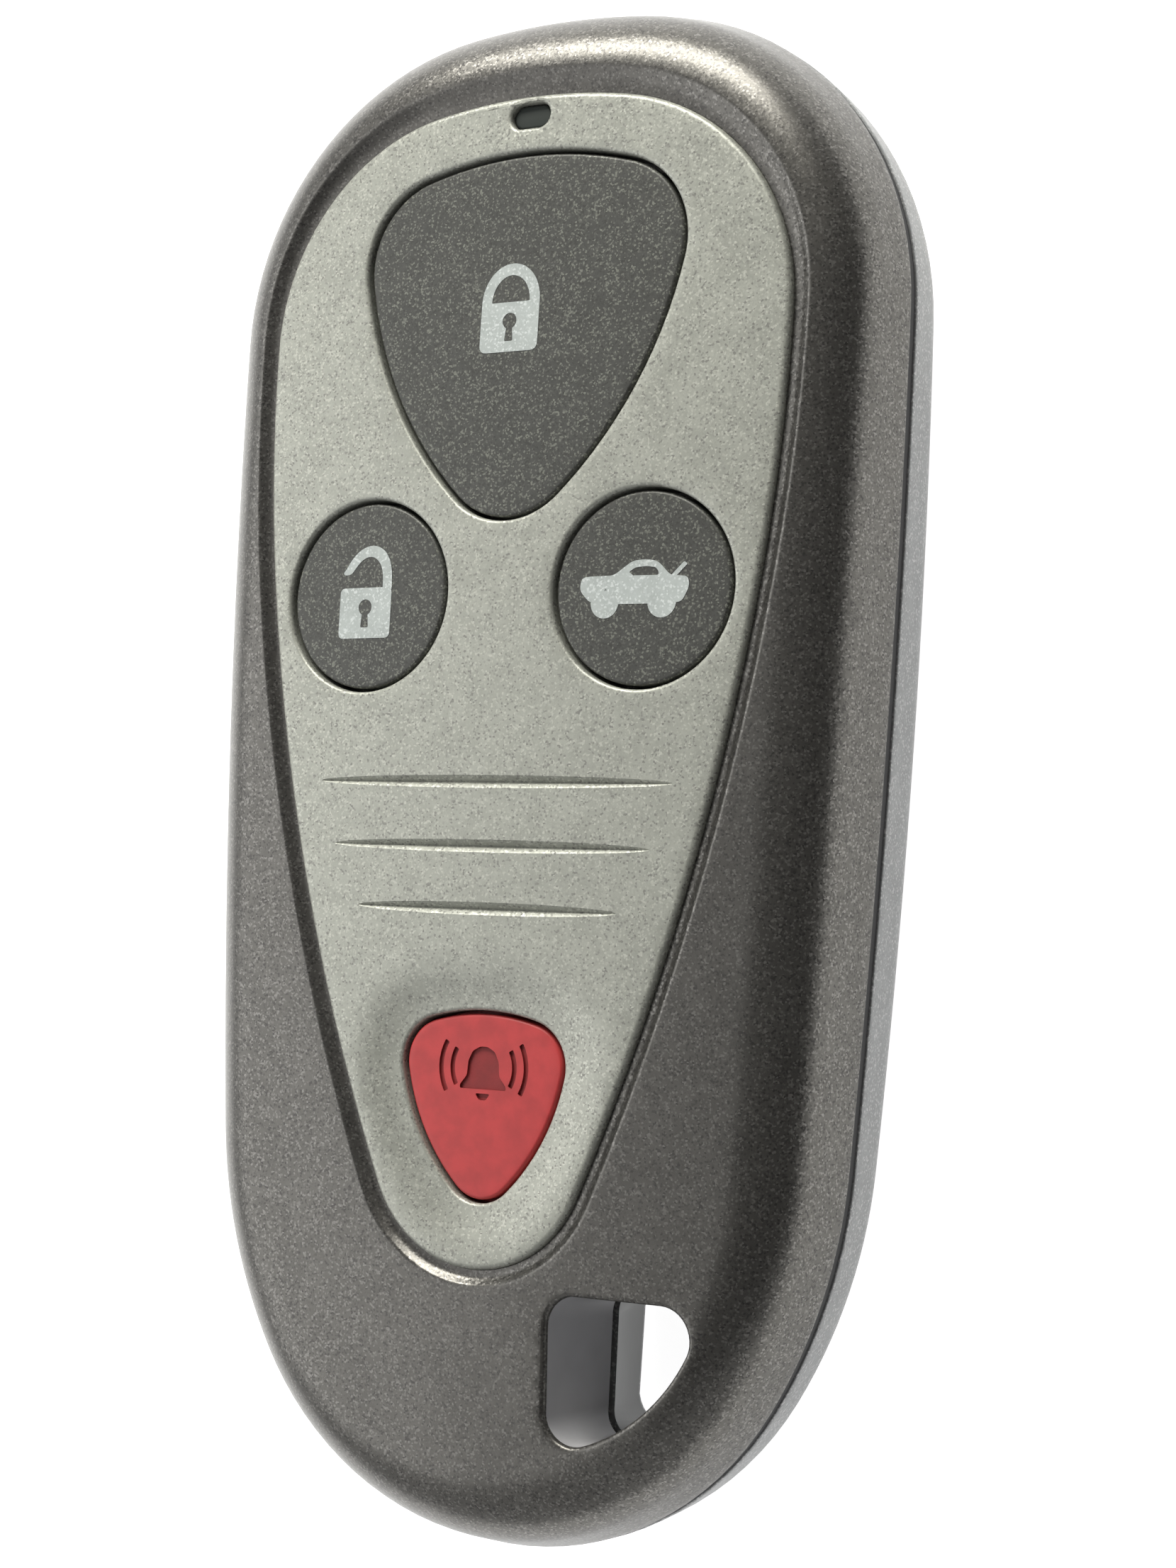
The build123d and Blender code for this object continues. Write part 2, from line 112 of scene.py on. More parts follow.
class CaseSizes(bpy.types.PropertyGroup):
    """Forms of the two shells that the frame's boxes don't give."""

    crest: share("Crest", "Radius of the light end over the width", 1.09)
    shoulder: share("Shoulder", "Radius of the shoulders over the width", 0.421)
    side: share("Side", "Radius of the long sides over the width", 16.6)
    tip: share("Tip", "Radius of the keyring end over the width", 0.431)
    tail: share("Tail", "From the keyring end to the long sides, over the width", 0.515)
    front_lean: angle("Front Lean", "How far the front flank leans in", 14.5)
    back_lean: angle("Back Lean", "How far the back flank leans in", 4.5)
    front_roll: length("Front Roll", "Radius where the face turns into the flank", 3.7)
    back_roll: length("Back Roll", "Radius where the back turns into the flank", 3.5)
    crown_across: length("Crown Across", "Radius of the face across the case", 217)
    crown_along: length("Crown Along", "Radius of the face along the case", 646)
    back_across: length("Back Crown Across", "Radius of the back across the case", 120)
    back_along: length("Back Crown Along", "Radius of the back along the case", 500)
    back_land: length("Back Land", "Depth of the back's crown that the flat land takes off", 0.35)
    rim_rise: length("Rim Rise", "How far the case's crown stands above the plate's", 0.05)
    seam_edge: length("Seam Edge", "Rounding of each shell's edge at the seal", 0.12)
    crest_round: length("Recess Edge", "Length of the rounding on the recess's edge", 0.12)
    wall: length("Wall", "From the outline in to the inner space", 2.8)
    low_wall: length("Low Wall", "The same beside the shallow lower space", 6.5)
    floor_height: length("Floor Height", "Inside floor of the rear shell", 1.3)
    low_depth: length("Low Depth", "Depth of the shallow lower space", 1.3)
    deck: length("Deck", "Thickness of the deck under the plate", 0.8)
    bulkhead: length("Bulkhead", "From the keyring end to the electronics", 15.5)
    recess_side: length("Recess Side", "From the plate's edge to the recess's crest at the sides", 0.88)
    recess_top: length("Recess Top", "The same at the light end", 1.3)
    recess_tip: length("Recess Tip", "The same at the tip", 0.75)
    ledge_drop: length("Ledge Drop", "From the plate's crown down to the ledge beside the plate", 0.36)
    ledge: share("Ledge", "Share of the recess's width that is a flat ledge beside the plate", 0.42)
    ring_left: length("Keyring Hole Left", "Place of the hole's straight side", 4.3)
    ring_top: length("Keyring Hole Top", "From the keyring end to the hole's top edge", 12.84)
    ring_width: length("Keyring Hole Width", "Length of the hole's top edge", 8.0)
    ring_length: length("Keyring Hole Length", "Length of the hole's left edge", 7.32)
    ring_bulge: length("Keyring Hole Bulge", "Rise of the hole's bulging side", 1.75)
    ring_corner: length("Keyring Hole Corner", "Rounding of the hole's corners", 1.5)
    ring_lip: length("Keyring Hole Lip", "Rounding of the hole's edges", 0.26)
    ring_waist: length("Keyring Hole Waist", "How much the hole narrows from the face to the seal", 0.83)
    ring_flare: length("Keyring Hole Flare", "How much the hole is wider at the back than at the face", 0.77)
    screw_x: length("Screw Place", "Place of the case screw across the case", -6.5)
    screw_y: length("Screw From End", "From the keyring end to the case screw", 9.5)
    screw_head: length("Screw Recess", "Diameter of the recess for the screw's head", 3.4)
    screw_bore: length("Screw Bore", "Diameter of the screw's hole", 1.8)
    screw_seat: length("Screw Seat", "Height of the seat of the screw's head", 2.0)


class FaceSizes(bpy.types.PropertyGroup):
    """Forms of the plate, the buttons and the light window."""

    plate_crest: length("Plate Crest", "Radius of the plate's top edge", 31.4)
    plate_shoulder: length("Plate Shoulder", "Radius of its shoulders", 11.16)
    plate_side: length("Plate Side", "Radius of its sides", 89.2)
    plate_tip: length("Plate Tip", "Radius of its tip", 6.03)
    plate_tail: share("Plate Tail", "From its tip to the end of its sides, over its length", 0.584)
    plate_gap: length("Plate Gap", "Gap round the plate in its recess", 0.025)
    pick_crest: share("Pick Crest", "A pick's top radius over its height", 1.19)
    pick_shoulder: share("Pick Shoulder", "A pick's shoulder radius over its height", 0.246)
    pick_tip: share("Pick Tip", "A pick's tip radius over its height", 0.234)
    pick_tail: share("Pick Tail", "From a pick's tip to the end of its shoulders, over its height", 0.673)
    button_gap: length("Button Gap", "Gap round each button", 0.18)
    button_edge: length("Button Edge", "Rounding of the buttons' edges", 0.18)
    flange_margin: length("Flange Margin", "How far a button's flange reaches past its hole", 0.6)
    flange_height: length("Flange Height", "Thickness of a button's flange", 0.55)
    button_drop: length("Button Drop", "How far the buttons lie under the plate's face", 0.18)
    hole_round: length("Hole Rounding", "Rounding of the edges of the plate's openings", 0.2)
    plate_round: length("Plate Rounding", "Rounding of the plate's outer edge", 0.28)
    dish_depth: length("Collar Depth", "Depth of the sunk collar round the alarm button", 0.5)
    dish_margin: length("Collar Floor", "Width of the collar's flat floor", 0.25)
    dish_reach: length("Collar Reach", "From the alarm button to the collar's outer edge", 2.5)
    groove_width: length("Groove Width", "Width of the three grooves at their middle", 0.62)
    groove_depth: length("Groove Depth", "Depth of the three grooves at their middle", 0.3)
    light_length: length("Light Length", "Length of the light window", 2.2)
    light_width: length("Light Width", "Width of the light window", 1.25)
    light_drop: length("Light Drop", "How far the window lies under the plate's face", 0.3)
    light_gap: length("Light Gap", "Gap round the light window", 0.05)
    light_edge: length("Light Edge", "Rounding of the window's edge", 0.12)
    print_height: length("Print Height", "How far the printed signs stand above the buttons", 0.02)
    sign_depth: length("Sign Depth", "Depth of the alarm sign in its button", 0.12)


class Paints(bpy.types.PropertyGroup):
    """Colours of the visible pieces."""

    gunmetal: colour("Gunmetal", "Metallic paint of the front shell", (0.120, 0.116, 0.107))
    gunmetal_flake: colour("Gunmetal Flake", "Bright flakes in it", (0.22, 0.213, 0.2))
    silver: colour("Silver", "Paint of the face plate", (0.365, 0.374, 0.33))
    silver_flake: colour("Silver Flake", "Bright flakes in it", (0.53, 0.54, 0.48))
    rear: colour("Rear Silver", "Paint of the rear shell", (0.3, 0.308, 0.31))
    button: colour("Button Grey", "Paint of the dark buttons", (0.068, 0.069, 0.063))
    button_flake: colour("Button Flake", "Bright flakes in it", (0.2, 0.207, 0.178))
    alarm: colour("Alarm Red", "Colour of the alarm button", (0.48, 0.041, 0.042))
    sign: colour("Sign White", "Print of the buttons' signs", (0.44, 0.48, 0.465))
    # Painted light: the front part of the keyring hole's wall is the same dark plastic as the rear part,
    # lightened here to stand in for light falling on it
    raw_and_painted_light: colour("Raw Plastic", "Unpainted front plastic in the keyring hole", (0.46, 0.46, 0.475))
    raw_rear: colour("Raw Rear Plastic", "Unpainted rear plastic in the keyring hole", (0.15, 0.155, 0.15))
    lens: colour("Window", "Smoked plastic of the light window", (0.012, 0.018, 0.014))


def sizes():
    return bpy.context.scene.remote_case, bpy.context.scene.remote_face


class Outline:
    """A closed outline in the XY plane: its points and the outward direction at each."""

    def __init__(self, points, outward):
        self.points = [Vector(p) for p in points]
        self.outward = [Vector(n) for n in outward]

    def at(self, grow=0.0):
        """The outline's points, moved out by the given width."""
        return [p + n * grow for p, n in zip(self.points, self.outward)]

    def ring(self, height, grow=0.0, sunk=0.0):
        """The same in three dimensions, at one height or sunk under a height worked out for each point."""
        level = height if callable(height) else lambda x, y: height
        return [(p.x, p.y, level(p.x, p.y) - sunk) for p in self.at(grow)]

    def left_moved(self, grow):
        """The outline with its left side alone moved out."""
        points = [p + n * grow * max(0, -n.x) for p, n in zip(self.points, self.outward)]
        return Outline(points, self.outward)

    def middle(self):
        return sum(self.points, Vector((0, 0))) / len(self.points)


def bend(start, corner, end, steps, first=1):
    """Points along the curve that rounds a corner."""
    shares = [i / steps for i in range(first, steps + 1)]
    return [start * (1 - t) ** 2 + corner * 2 * t * (1 - t) + end * t ** 2 for t in shares]


def quarter(radius, steps, first=0):
    """Inset and depth at each step of a quarter round, from an upright wall to a flat top."""
    for i in range(first, steps + 1):
        turn = pi / 2 * i / steps
        yield radius * (1 - cos(turn)), radius * (1 - sin(turn))


def trace(arcs):
    """An outline along arcs that meet smoothly, each a middle, a radius, two angles and its steps."""
    points, normals = [], []
    for middle, radius, start, end, steps in arcs:
        for step in range(steps):
            angle = start + (end - start) * step / steps
            normals.append(Vector((cos(angle), sin(angle))))
            points.append(middle + normals[-1] * radius)
    return points, normals


def oval(half, top, tip, crest, shoulder, side, tip_radius, tail):
    """An outline of tangent arcs, symmetrical about the Y axis, from its top to its tip."""
    shoulder_x = half - shoulder
    side_y = top - crest + sqrt((crest - shoulder) ** 2 - shoulder_x ** 2)
    crest_half = asin(shoulder_x / (crest - shoulder))
    lean = asin((side_y - tip - tail) / side)
    outward = Vector((cos(lean), -sin(lean)))
    side_end = Vector((half - side * (1 - cos(lean)), tip + tail))
    arm = side_end - Vector((0, tip + tip_radius))
    flank = (arm.length_squared - tip_radius ** 2) / (2 * (arm.dot(outward) - tip_radius))
    flank_middle = side_end - outward * flank
    tip_half = asin(-flank_middle.x / (flank - tip_radius))
    arcs = [
        (Vector((0, top - crest)), crest, pi / 2, pi / 2 - crest_half),
        (Vector((shoulder_x, side_y)), shoulder, pi / 2 - crest_half, 0),
        (Vector((half - side, side_y)), side, 0, -lean),
        (flank_middle, flank, -lean, tip_half - pi / 2),
        (Vector((0, tip + tip_radius)), tip_radius, tip_half - pi / 2, -pi / 2),
    ]
    points, normals = trace([(*arc, steps) for arc, steps in zip(arcs, ARC_STEPS)])
    points.append(Vector((0, tip)))
    normals.append(Vector((0, -1)))
    flip = Matrix(((-1, 0), (0, 1)))
    points += [flip @ p for p in points[-2:0:-1]]
    normals += [flip @ n for n in normals[-2:0:-1]]
    return Outline(points, normals)


def circle(middle, radius, steps=96):
    """A round outline."""
    outward = [Vector((sin(2 * pi * i / steps), cos(2 * pi * i / steps))) for i in range(steps)]
    return Outline([Vector(middle) + n * radius for n in outward], outward)


def slot(middle, width, height, steps=20):
    """An oval outline with straight long sides."""
    radius = height / 2
    reach = width / 2 - radius
    points, outward = [], []
    for side, start in ((1, 90), (-1, -90)):
        for i in range(steps + 1):
            angle = radians(start - 180 * i / steps)
            outward.append(Vector((cos(angle), sin(angle))))
            points.append(Vector(middle) + Vector((side * reach, 0)) + outward[-1] * radius)
    return Outline(points, outward)


def polygon(corners, rounding, steps=6):
    """An outline through corners, listed clockwise, each rounded over the given length."""
    corners = [Vector(c) for c in corners]
    count = len(corners)
    points = []
    for i, corner in enumerate(corners):
        before = corners[i - 1] - corner
        after = corners[(i + 1) % count] - corner
        reach = min(rounding, before.length / 2, after.length / 2)
        start = corner + before.normalized() * reach
        end = corner + after.normalized() * reach
        points += bend(start, corner, end, steps, 0)
    outward = []
    for i, point in enumerate(points):
        along = points[(i + 1) % len(points)] - points[i - 1]
        outward.append(Vector((-along.y, along.x)).normalized())
    return Outline(points, outward)


def case_outline():
    case, _ = sizes()
    low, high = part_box("front_shell")
    width = high.x - low.x
    shares = (case.crest, case.shoulder, case.side, case.tip, case.tail)
    return oval(width / 2, high.y, low.y, *[width * s for s in shares])


def plate_outline(side=0.0, top=0.0, tip=0.0):
    """The plate's egg, grown at its sides, its top and its tip."""
    _, face = sizes()
    low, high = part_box("face_plate")
    full = high.y - low.y + top + tip
    return oval(
        high.x + side,
        high.y + top,
        low.y - tip,
        face.plate_crest,
        face.plate_shoulder + side,
        face.plate_side,
        face.plate_tip + max(side, tip / 2),
        full * face.plate_tail,
    )


def hole_outline(name):
    """The outline of a button's hole in the plate, from the box of the button's flange."""
    _, face = sizes()
    low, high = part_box(f"{name}_button")
    low, high = low.xy, high.xy
    margin = Vector((face.flange_margin, face.flange_margin))
    low, high = low + margin, high - margin
    if name in ("unlock", "trunk"):
        return circle((low + high) / 2, (high.x - low.x) / 2)
    height = high.y - low.y
    shares = (face.pick_crest, face.pick_shoulder, face.pick_shoulder, face.pick_tip, face.pick_tail)
    return oval((high.x - low.x) / 2, high.y, low.y, *[height * s for s in shares])


def face_holes():
    """The outlines of all the openings in the plate."""
    return [hole_outline(name) for name in BUTTONS] + [light_outline()]


def light_outline():
    _, face = sizes()
    low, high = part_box("light_lens")
    return slot(((low + high) / 2).xy, face.light_length, face.light_width)


def ring_outline():
    """The keyring hole: a triangle with round corners and one bulging side."""
    case, _ = sizes()
    corner = Vector((case.ring_left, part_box("front_shell")[0].y + case.ring_top))
    right = corner + Vector((case.ring_width, 0))
    low = corner - Vector((0, case.ring_length))
    chord = right - low
    outward = Vector((chord.y, -chord.x)).normalized()
    bulge, rounding = case.ring_bulge, case.ring_corner
    arc = (chord.length_squared / 4 + bulge ** 2) / (2 * bulge)
    middle = (right + low) / 2 - outward * (arc - bulge)
    reach = arc - rounding
    right_y = corner.y - rounding
    right_middle = Vector((middle.x + sqrt(reach ** 2 - (right_y - middle.y) ** 2), right_y))
    low_x = corner.x + rounding
    low_middle = Vector((low_x, middle.y - sqrt(reach ** 2 - (low_x - middle.x) ** 2)))
    turn_right = atan2(*(right_middle - middle).yx)
    turn_low = atan2(*(low_middle - middle).yx)
    return Outline(*trace([
        (Vector((low_x, right_y)), rounding, pi, pi / 2, 9),
        (right_middle, rounding, pi / 2, turn_right, 12),
        (middle, arc, turn_right, turn_low, 16),
        (low_middle, rounding, turn_low, -pi, 12),
    ]))


def face_level(drop=0.0):
    """The height of the face's crown at a place, less a drop. The plate's top has no drop."""
    case, _ = sizes()
    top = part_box("face_plate")[1].z
    return lambda x, y: top - drop - x * x / case.crown_across / 2 - y * y / case.crown_along / 2


def back_level():
    """The height of the back's crown at a place, with its flat land."""
    case, _ = sizes()
    return lambda x, y: x * x / case.back_across / 2 + y * y / case.back_along / 2 - case.back_land


def deselect():
    for piece in bpy.context.selected_objects:
        piece.select_set(False)


def activate(piece):
    deselect()
    piece.select_set(True)
    bpy.context.view_layer.objects.active = piece


def in_edit_mode(piece, work):
    """Runs some work on a piece in edit mode."""
    activate(piece)
    bpy.ops.object.mode_set(mode="EDIT")
    bpy.ops.mesh.select_all(action="DESELECT")
    work()
    bpy.ops.object.mode_set(mode="OBJECT")


def pick_edges(test):
    """Selects, in edit mode, the edges that pass a test."""
    mesh = bmesh.from_edit_mesh(bpy.context.object.data)
    bpy.ops.mesh.select_mode(type="EDGE")
    for edge in mesh.edges:
        edge.select_set(test(edge))
    bmesh.update_edit_mesh(bpy.context.object.data)


def skin(name, rings, finish=None, close_end="face"):
    """A piece drawn out ring by ring: a circle shaped to the first ring, then extruded to the others."""
    count = len(rings[0])
    deselect()
    bpy.ops.mesh.primitive_circle_add(vertices=count, radius=1, location=(0, 0, 0))
    piece = bpy.context.object
    piece.name = piece.data.name = name
    if finish:
        piece.data.materials.append(FINISHES[finish])
    for vertex, place in zip(piece.data.vertices, rings[0]):
        vertex.co = place
    spoke = piece.data.attributes.new("spoke", "INT", "POINT")
    spoke.data.foreach_set("value", range(count))

    def draw():
        bpy.ops.mesh.select_all(action="SELECT")
        for ring in rings[1:]:
            bpy.ops.mesh.extrude_region_move()
            mesh = bmesh.from_edit_mesh(piece.data)
            layer = mesh.verts.layers.int["spoke"]
            for vertex in mesh.verts:
                if vertex.select:
                    vertex.co = ring[vertex[layer]]
            bmesh.update_edit_mesh(piece.data)
        if close_end == "point":
            bpy.ops.mesh.merge(type="CENTER")
        elif close_end == "face":
            bpy.ops.mesh.edge_face_add()
        bpy.ops.mesh.select_all(action="DESELECT")
        mesh = bmesh.from_edit_mesh(piece.data)
        mesh.verts.ensure_lookup_table()
        for vertex in mesh.verts[:count]:
            vertex.select_set(True)
        mesh.select_flush(True)
        bmesh.update_edit_mesh(piece.data)
        bpy.ops.mesh.edge_face_add()
        bpy.ops.mesh.select_all(action="SELECT")
        bpy.ops.mesh.normals_make_consistent(inside=False)

    in_edit_mode(piece, draw)
    piece.data.attributes.remove(piece.data.attributes["spoke"])
    return piece


def prism(outline, low, high, finish=None):
    """A straight solid with the outline's section, mostly used as a cutter."""
    return skin("cutter", [outline.ring(low), outline.ring(high)], finish)


def combine(piece, other, operation="DIFFERENCE"):
    """Cuts another solid out of a piece, or joins it on, and removes the other."""
    activate(piece)
    boolean = piece.modifiers.new("cut", "BOOLEAN")
    boolean.operation = operation
    boolean.solver = "EXACT"
    boolean.material_mode = "TRANSFER"
    boolean.object = other
    bpy.ops.object.modifier_apply(modifier=boolean.name)
    bpy.data.objects.remove(other)
    return piece


def smooth(piece, angle=SMOOTH_ANGLE):
    activate(piece)
    bpy.ops.object.shade_smooth_by_angle(angle=angle)


def bisect_grid(piece, step, low, high):
    """Cuts a piece along a grid of upright planes, so that it can take the face's crown."""

    def cut():
        for axis in (0, 1):
            place = low[axis] + step
            while place < high[axis]:
                bpy.ops.mesh.select_all(action="SELECT")
                spot = Vector((0, 0, 0))
                spot[axis] = place
                way = Vector((0, 0, 0))
                way[axis] = 1
                bpy.ops.mesh.bisect(plane_co=spot, plane_no=way)
                place += step

    in_edit_mode(piece, cut)


def reshape(piece, place):
    """Moves every vertex of a piece to where the given rule puts it."""
    for vertex in piece.data.vertices:
        vertex.co = place(vertex.co)
    piece.data.update()


def dress(piece, body, slot_name, *nodes):
    """Gives a finished piece its body and hides the frame's nodes that it stands for. Its slot name is not
    used.
    """
    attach(piece, body)
    if nodes:
        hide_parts(*nodes)
    return piece


def crossing(start, direction, points):
    """How far a ray from start runs before it meets a closed outline."""
    best = None
    for a, b in zip(points, points[1:] + points[:1]):
        edge = b - a
        cross = direction.x * edge.y - direction.y * edge.x
        if abs(cross) < 1e-15:
            continue
        gap = a - start
        along = (gap.x * edge.y - gap.y * edge.x) / cross
        share_of_edge = (gap.x * direction.y - gap.y * direction.x) / cross
        if along > 0 and -1e-6 <= share_of_edge <= 1 + 1e-6 and (best is None or along < best):
            best = along
    return best


def along_path(path, distances):
    """Points at the given distances along a path of straight runs in the plane of a section."""
    found, run, i = [], 0.0, 0
    for distance in distances:
        while i < len(path) - 2 and run + (path[i + 1] - path[i]).length < distance:
            run += (path[i + 1] - path[i]).length
            i += 1
        step = path[i + 1] - path[i]
        found.append(path[i] + step * min(1.0, (distance - run) / step.length))
    return found


def flank_and_roll(point, outward, way, base, lean, roll, level):
    """The section from the seam over the flank and the roll to the crown, as inset and height.

    Heights grow away from the seam. The roll is the arc that touches the flank and the crown.
    """

    def rise(inset):
        place = point - outward * inset
        return way * (level(place.x, place.y) - base)

    def roll_middle(inset):
        step = 0.01 * MM
        slope = (rise(inset + step) - rise(inset - step)) / (2 * step)
        tilt = sqrt(1 + slope ** 2)
        return Vector((inset + roll * slope / tilt, rise(inset) - roll / tilt)), slope

    low, high = 0.5 * roll, 3 * roll
    for _ in range(40):
        inset = (low + high) / 2
        middle, slope = roll_middle(inset)
        if (middle.x - middle.y * tan(lean)) * cos(lean) < roll:
            low = inset
        else:
            high = inset
    steps = 40
    start, end = lean, pi / 2 - atan(slope)
    arc = []
    for i in range(steps + 1):
        angle = start + (end - start) * i / steps
        arc.append(middle + roll * Vector((-cos(angle), sin(angle))))
    return arc, inset, rise


def seam_rounding(edge, lean):
    """The rounded edge of a shell beside the seal, as inset and height."""
    return [Vector((inset + height * tan(lean), height)) for height, inset in quarter(edge, SEAM_STEPS)]


SEAM_STEPS = 3
FLANK_STEPS = 4
FACE_STEPS = 30
LIP_STEPS = 6
SLOPE_STEPS = 3
HOLLOW_STEPS = 4
WALL_STEPS = 2


def front_sections():
    """For each point of the case outline, the front shell's section from seam to deck."""
    case, face = sizes()
    outline = case_outline()
    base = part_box("front_shell")[0].z
    deck_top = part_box("face_plate")[0].z - base
    gap = face.plate_gap
    seat = plate_outline(gap, gap, gap).points
    crest = plate_outline(case.recess_side, case.recess_top, case.recess_tip).points
    level = face_level(-case.rim_rise)
    ledge_level = face_level(case.ledge_drop)
    sections = []
    for point, outward in zip(outline.points, outline.outward):
        arc, inset, rise = flank_and_roll(point, outward, 1, base, case.front_lean, case.front_roll, level)
        seat_inset = crossing(point, -outward, seat)
        crest_inset = crossing(point, -outward, crest)
        path = list(arc)
        step = 0.1 * MM
        while inset < crest_inset:
            inset += step
            path.append(Vector((inset, rise(inset))))
        while path[-2].x >= crest_inset:
            path.pop()
        before, after = path[-2:]
        edge = before.lerp(after, (crest_inset - before.x) / (after.x - before.x))
        path[-1] = edge
        spot = point - outward * seat_inset
        low_end = Vector((seat_inset, ledge_level(spot.x, spot.y) - base))
        reach = sum((b - a).length for a, b in zip(path, path[1:]))
        stop = reach - case.crest_round
        rim = along_path(path, [stop * i / FACE_STEPS for i in range(FACE_STEPS + 1)])
        corner = low_end + Vector(((edge.x - low_end.x) * case.ledge, 0))
        down = (corner - edge).normalized()
        lip_end = edge + down * case.crest_round
        section = seam_rounding(case.seam_edge, case.front_lean)
        section += [section[-1].lerp(rim[0], i / FLANK_STEPS) for i in range(1, FLANK_STEPS)]
        section += rim
        section += bend(rim[-1], edge, lip_end, LIP_STEPS)
        hollow = corner + (lip_end - corner) * case.ledge
        section += [lip_end.lerp(hollow, i / SLOPE_STEPS) for i in range(1, SLOPE_STEPS + 1)]
        section += bend(hollow, corner, low_end, HOLLOW_STEPS)
        deck = Vector((seat_inset, deck_top))
        section += [low_end.lerp(deck, i / WALL_STEPS) for i in range(1, WALL_STEPS + 1)]
        sections.append([(*(point - outward * p.x), base + p.y) for p in section])
    return sections


def rear_sections():
    """For each point of the case outline, the rear shell's section from seam to flat land."""
    case, _ = sizes()
    outline = case_outline()
    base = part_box("rear_shell")[1].z
    level = back_level()
    across = sqrt(2 * case.back_across * case.back_land)
    along = sqrt(2 * case.back_along * case.back_land)
    steps = 200
    land = [Vector((across * sin(2 * pi * i / steps), along * cos(2 * pi * i / steps))) for i in range(steps)]
    sections = []
    for point, outward in zip(outline.points, outline.outward):
        arc, inset, rise = flank_and_roll(point, outward, -1, base, case.back_lean, case.back_roll, level)
        start = point - outward * inset
        way = Vector((0, start.y * 0.5)) - start
        way.normalize()
        run = crossing(start, way, land)
        section = seam_rounding(case.seam_edge, case.back_lean)
        flank_end = section[-1]
        section += [flank_end.lerp(arc[0], i / FLANK_STEPS) for i in range(1, FLANK_STEPS)]
        section += arc[::3]
        if section[-1] != arc[-1]:
            section.append(arc[-1])
        places = [(*(point - outward * p.x), base - p.y) for p in section]
        back_steps = 12
        for i in range(1, back_steps + 1):
            place = start + way * run * i / back_steps
            places.append((*place, max(0.0, level(place.x, place.y))))
        sections.append(places)
    return sections


def height_on(piece, way):
    """The height of a piece's skin over or under a place."""
    tree = BVHTree.FromObject(piece, bpy.context.evaluated_depsgraph_get())
    far = 1.0

    def find(x, y):
        hit = tree.ray_cast(Vector((x, y, way * far)), Vector((0, 0, -way)))
        return hit[0].z

    return find


def flared(skin_height, way, mouth, seam, wall_finish, lip_finish):
    """The keyring hole's cutter: narrow at the seam, and rounded where it comes out through a curved skin."""
    case, _ = sizes()
    lip, steps = case.ring_lip, 5
    waist = ring_outline().left_moved(-case.ring_waist)
    outline = ring_outline().left_moved(mouth)
    walls = [waist.ring(seam - way * BEYOND), waist.ring(seam)]
    rings = walls + [outline.ring(skin_height, sunk=way * lip * 1.2)]
    for i in range(steps + 1):
        turn = LIP_END * i / steps
        rings.append(outline.ring(skin_height, lip * (1 - cos(turn)), way * lip * (1 - sin(turn))))
    grow = lip * (1 - cos(LIP_END)) + LIP_OVER * sin(LIP_END)
    sunk = lip * (1 - sin(LIP_END)) - LIP_OVER * cos(LIP_END)
    rings.append(outline.ring(skin_height, grow, way * sunk))
    rings.append(outline.ring(skin_height, grow, -way * BEYOND))
    cutter = skin("cutter", rings, wall_finish)
    cutter.data.materials.append(FINISHES[lip_finish])
    count = len(outline.points)
    for one in cutter.data.polygons:
        if min(one.vertices) >= len(walls) * count and len(one.vertices) == 4:
            one.material_index = 1
    return cutter


def inner_outline(inset):
    """The space for the electronics, down to the bulkhead."""
    case, _ = sizes()
    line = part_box("front_shell")[0].y + case.bulkhead + inset - case.wall
    kept = [p for p in case_outline().at(-inset) if p.y > line]
    right = [p for p in kept if p.x >= 0]
    left = [p for p in kept if p.x < 0]
    corners = [Vector((right[-1].x, line)), Vector((left[0].x, line))]
    points = right + corners + left
    return Outline(points, [Vector((0, 0))] * len(points))


class Wire:
    """A number that travels through a material's nodes. Sums on wires add Math nodes."""

    def __init__(self, finish, socket):
        self.finish = finish
        self.socket = socket

    def sum(self, operation, second):
        return self.finish.node("ShaderNodeMath", {"operation": operation}, {0: self, 1: second})

    def __add__(self, other):
        return self.sum("ADD", other)

    def __mul__(self, other):
        return self.sum("MULTIPLY", other)

    def __lt__(self, other):
        return self.sum("LESS_THAN", other)

    def __gt__(self, other):
        return self.sum("GREATER_THAN", other)

    __radd__ = __add__
    __rmul__ = __mul__

    def ramp(self, low, high, start=0.0, end=1.0):
        """Goes smoothly from start to end while the number goes from low to high."""
        settings = {"interpolation_type": "SMOOTHSTEP"}
        return self.finish.node(
            "ShaderNodeMapRange", settings, {0: self, 1: low, 2: high, 3: start, 4: end}
        )


FINISHES = {}               # the materials by name


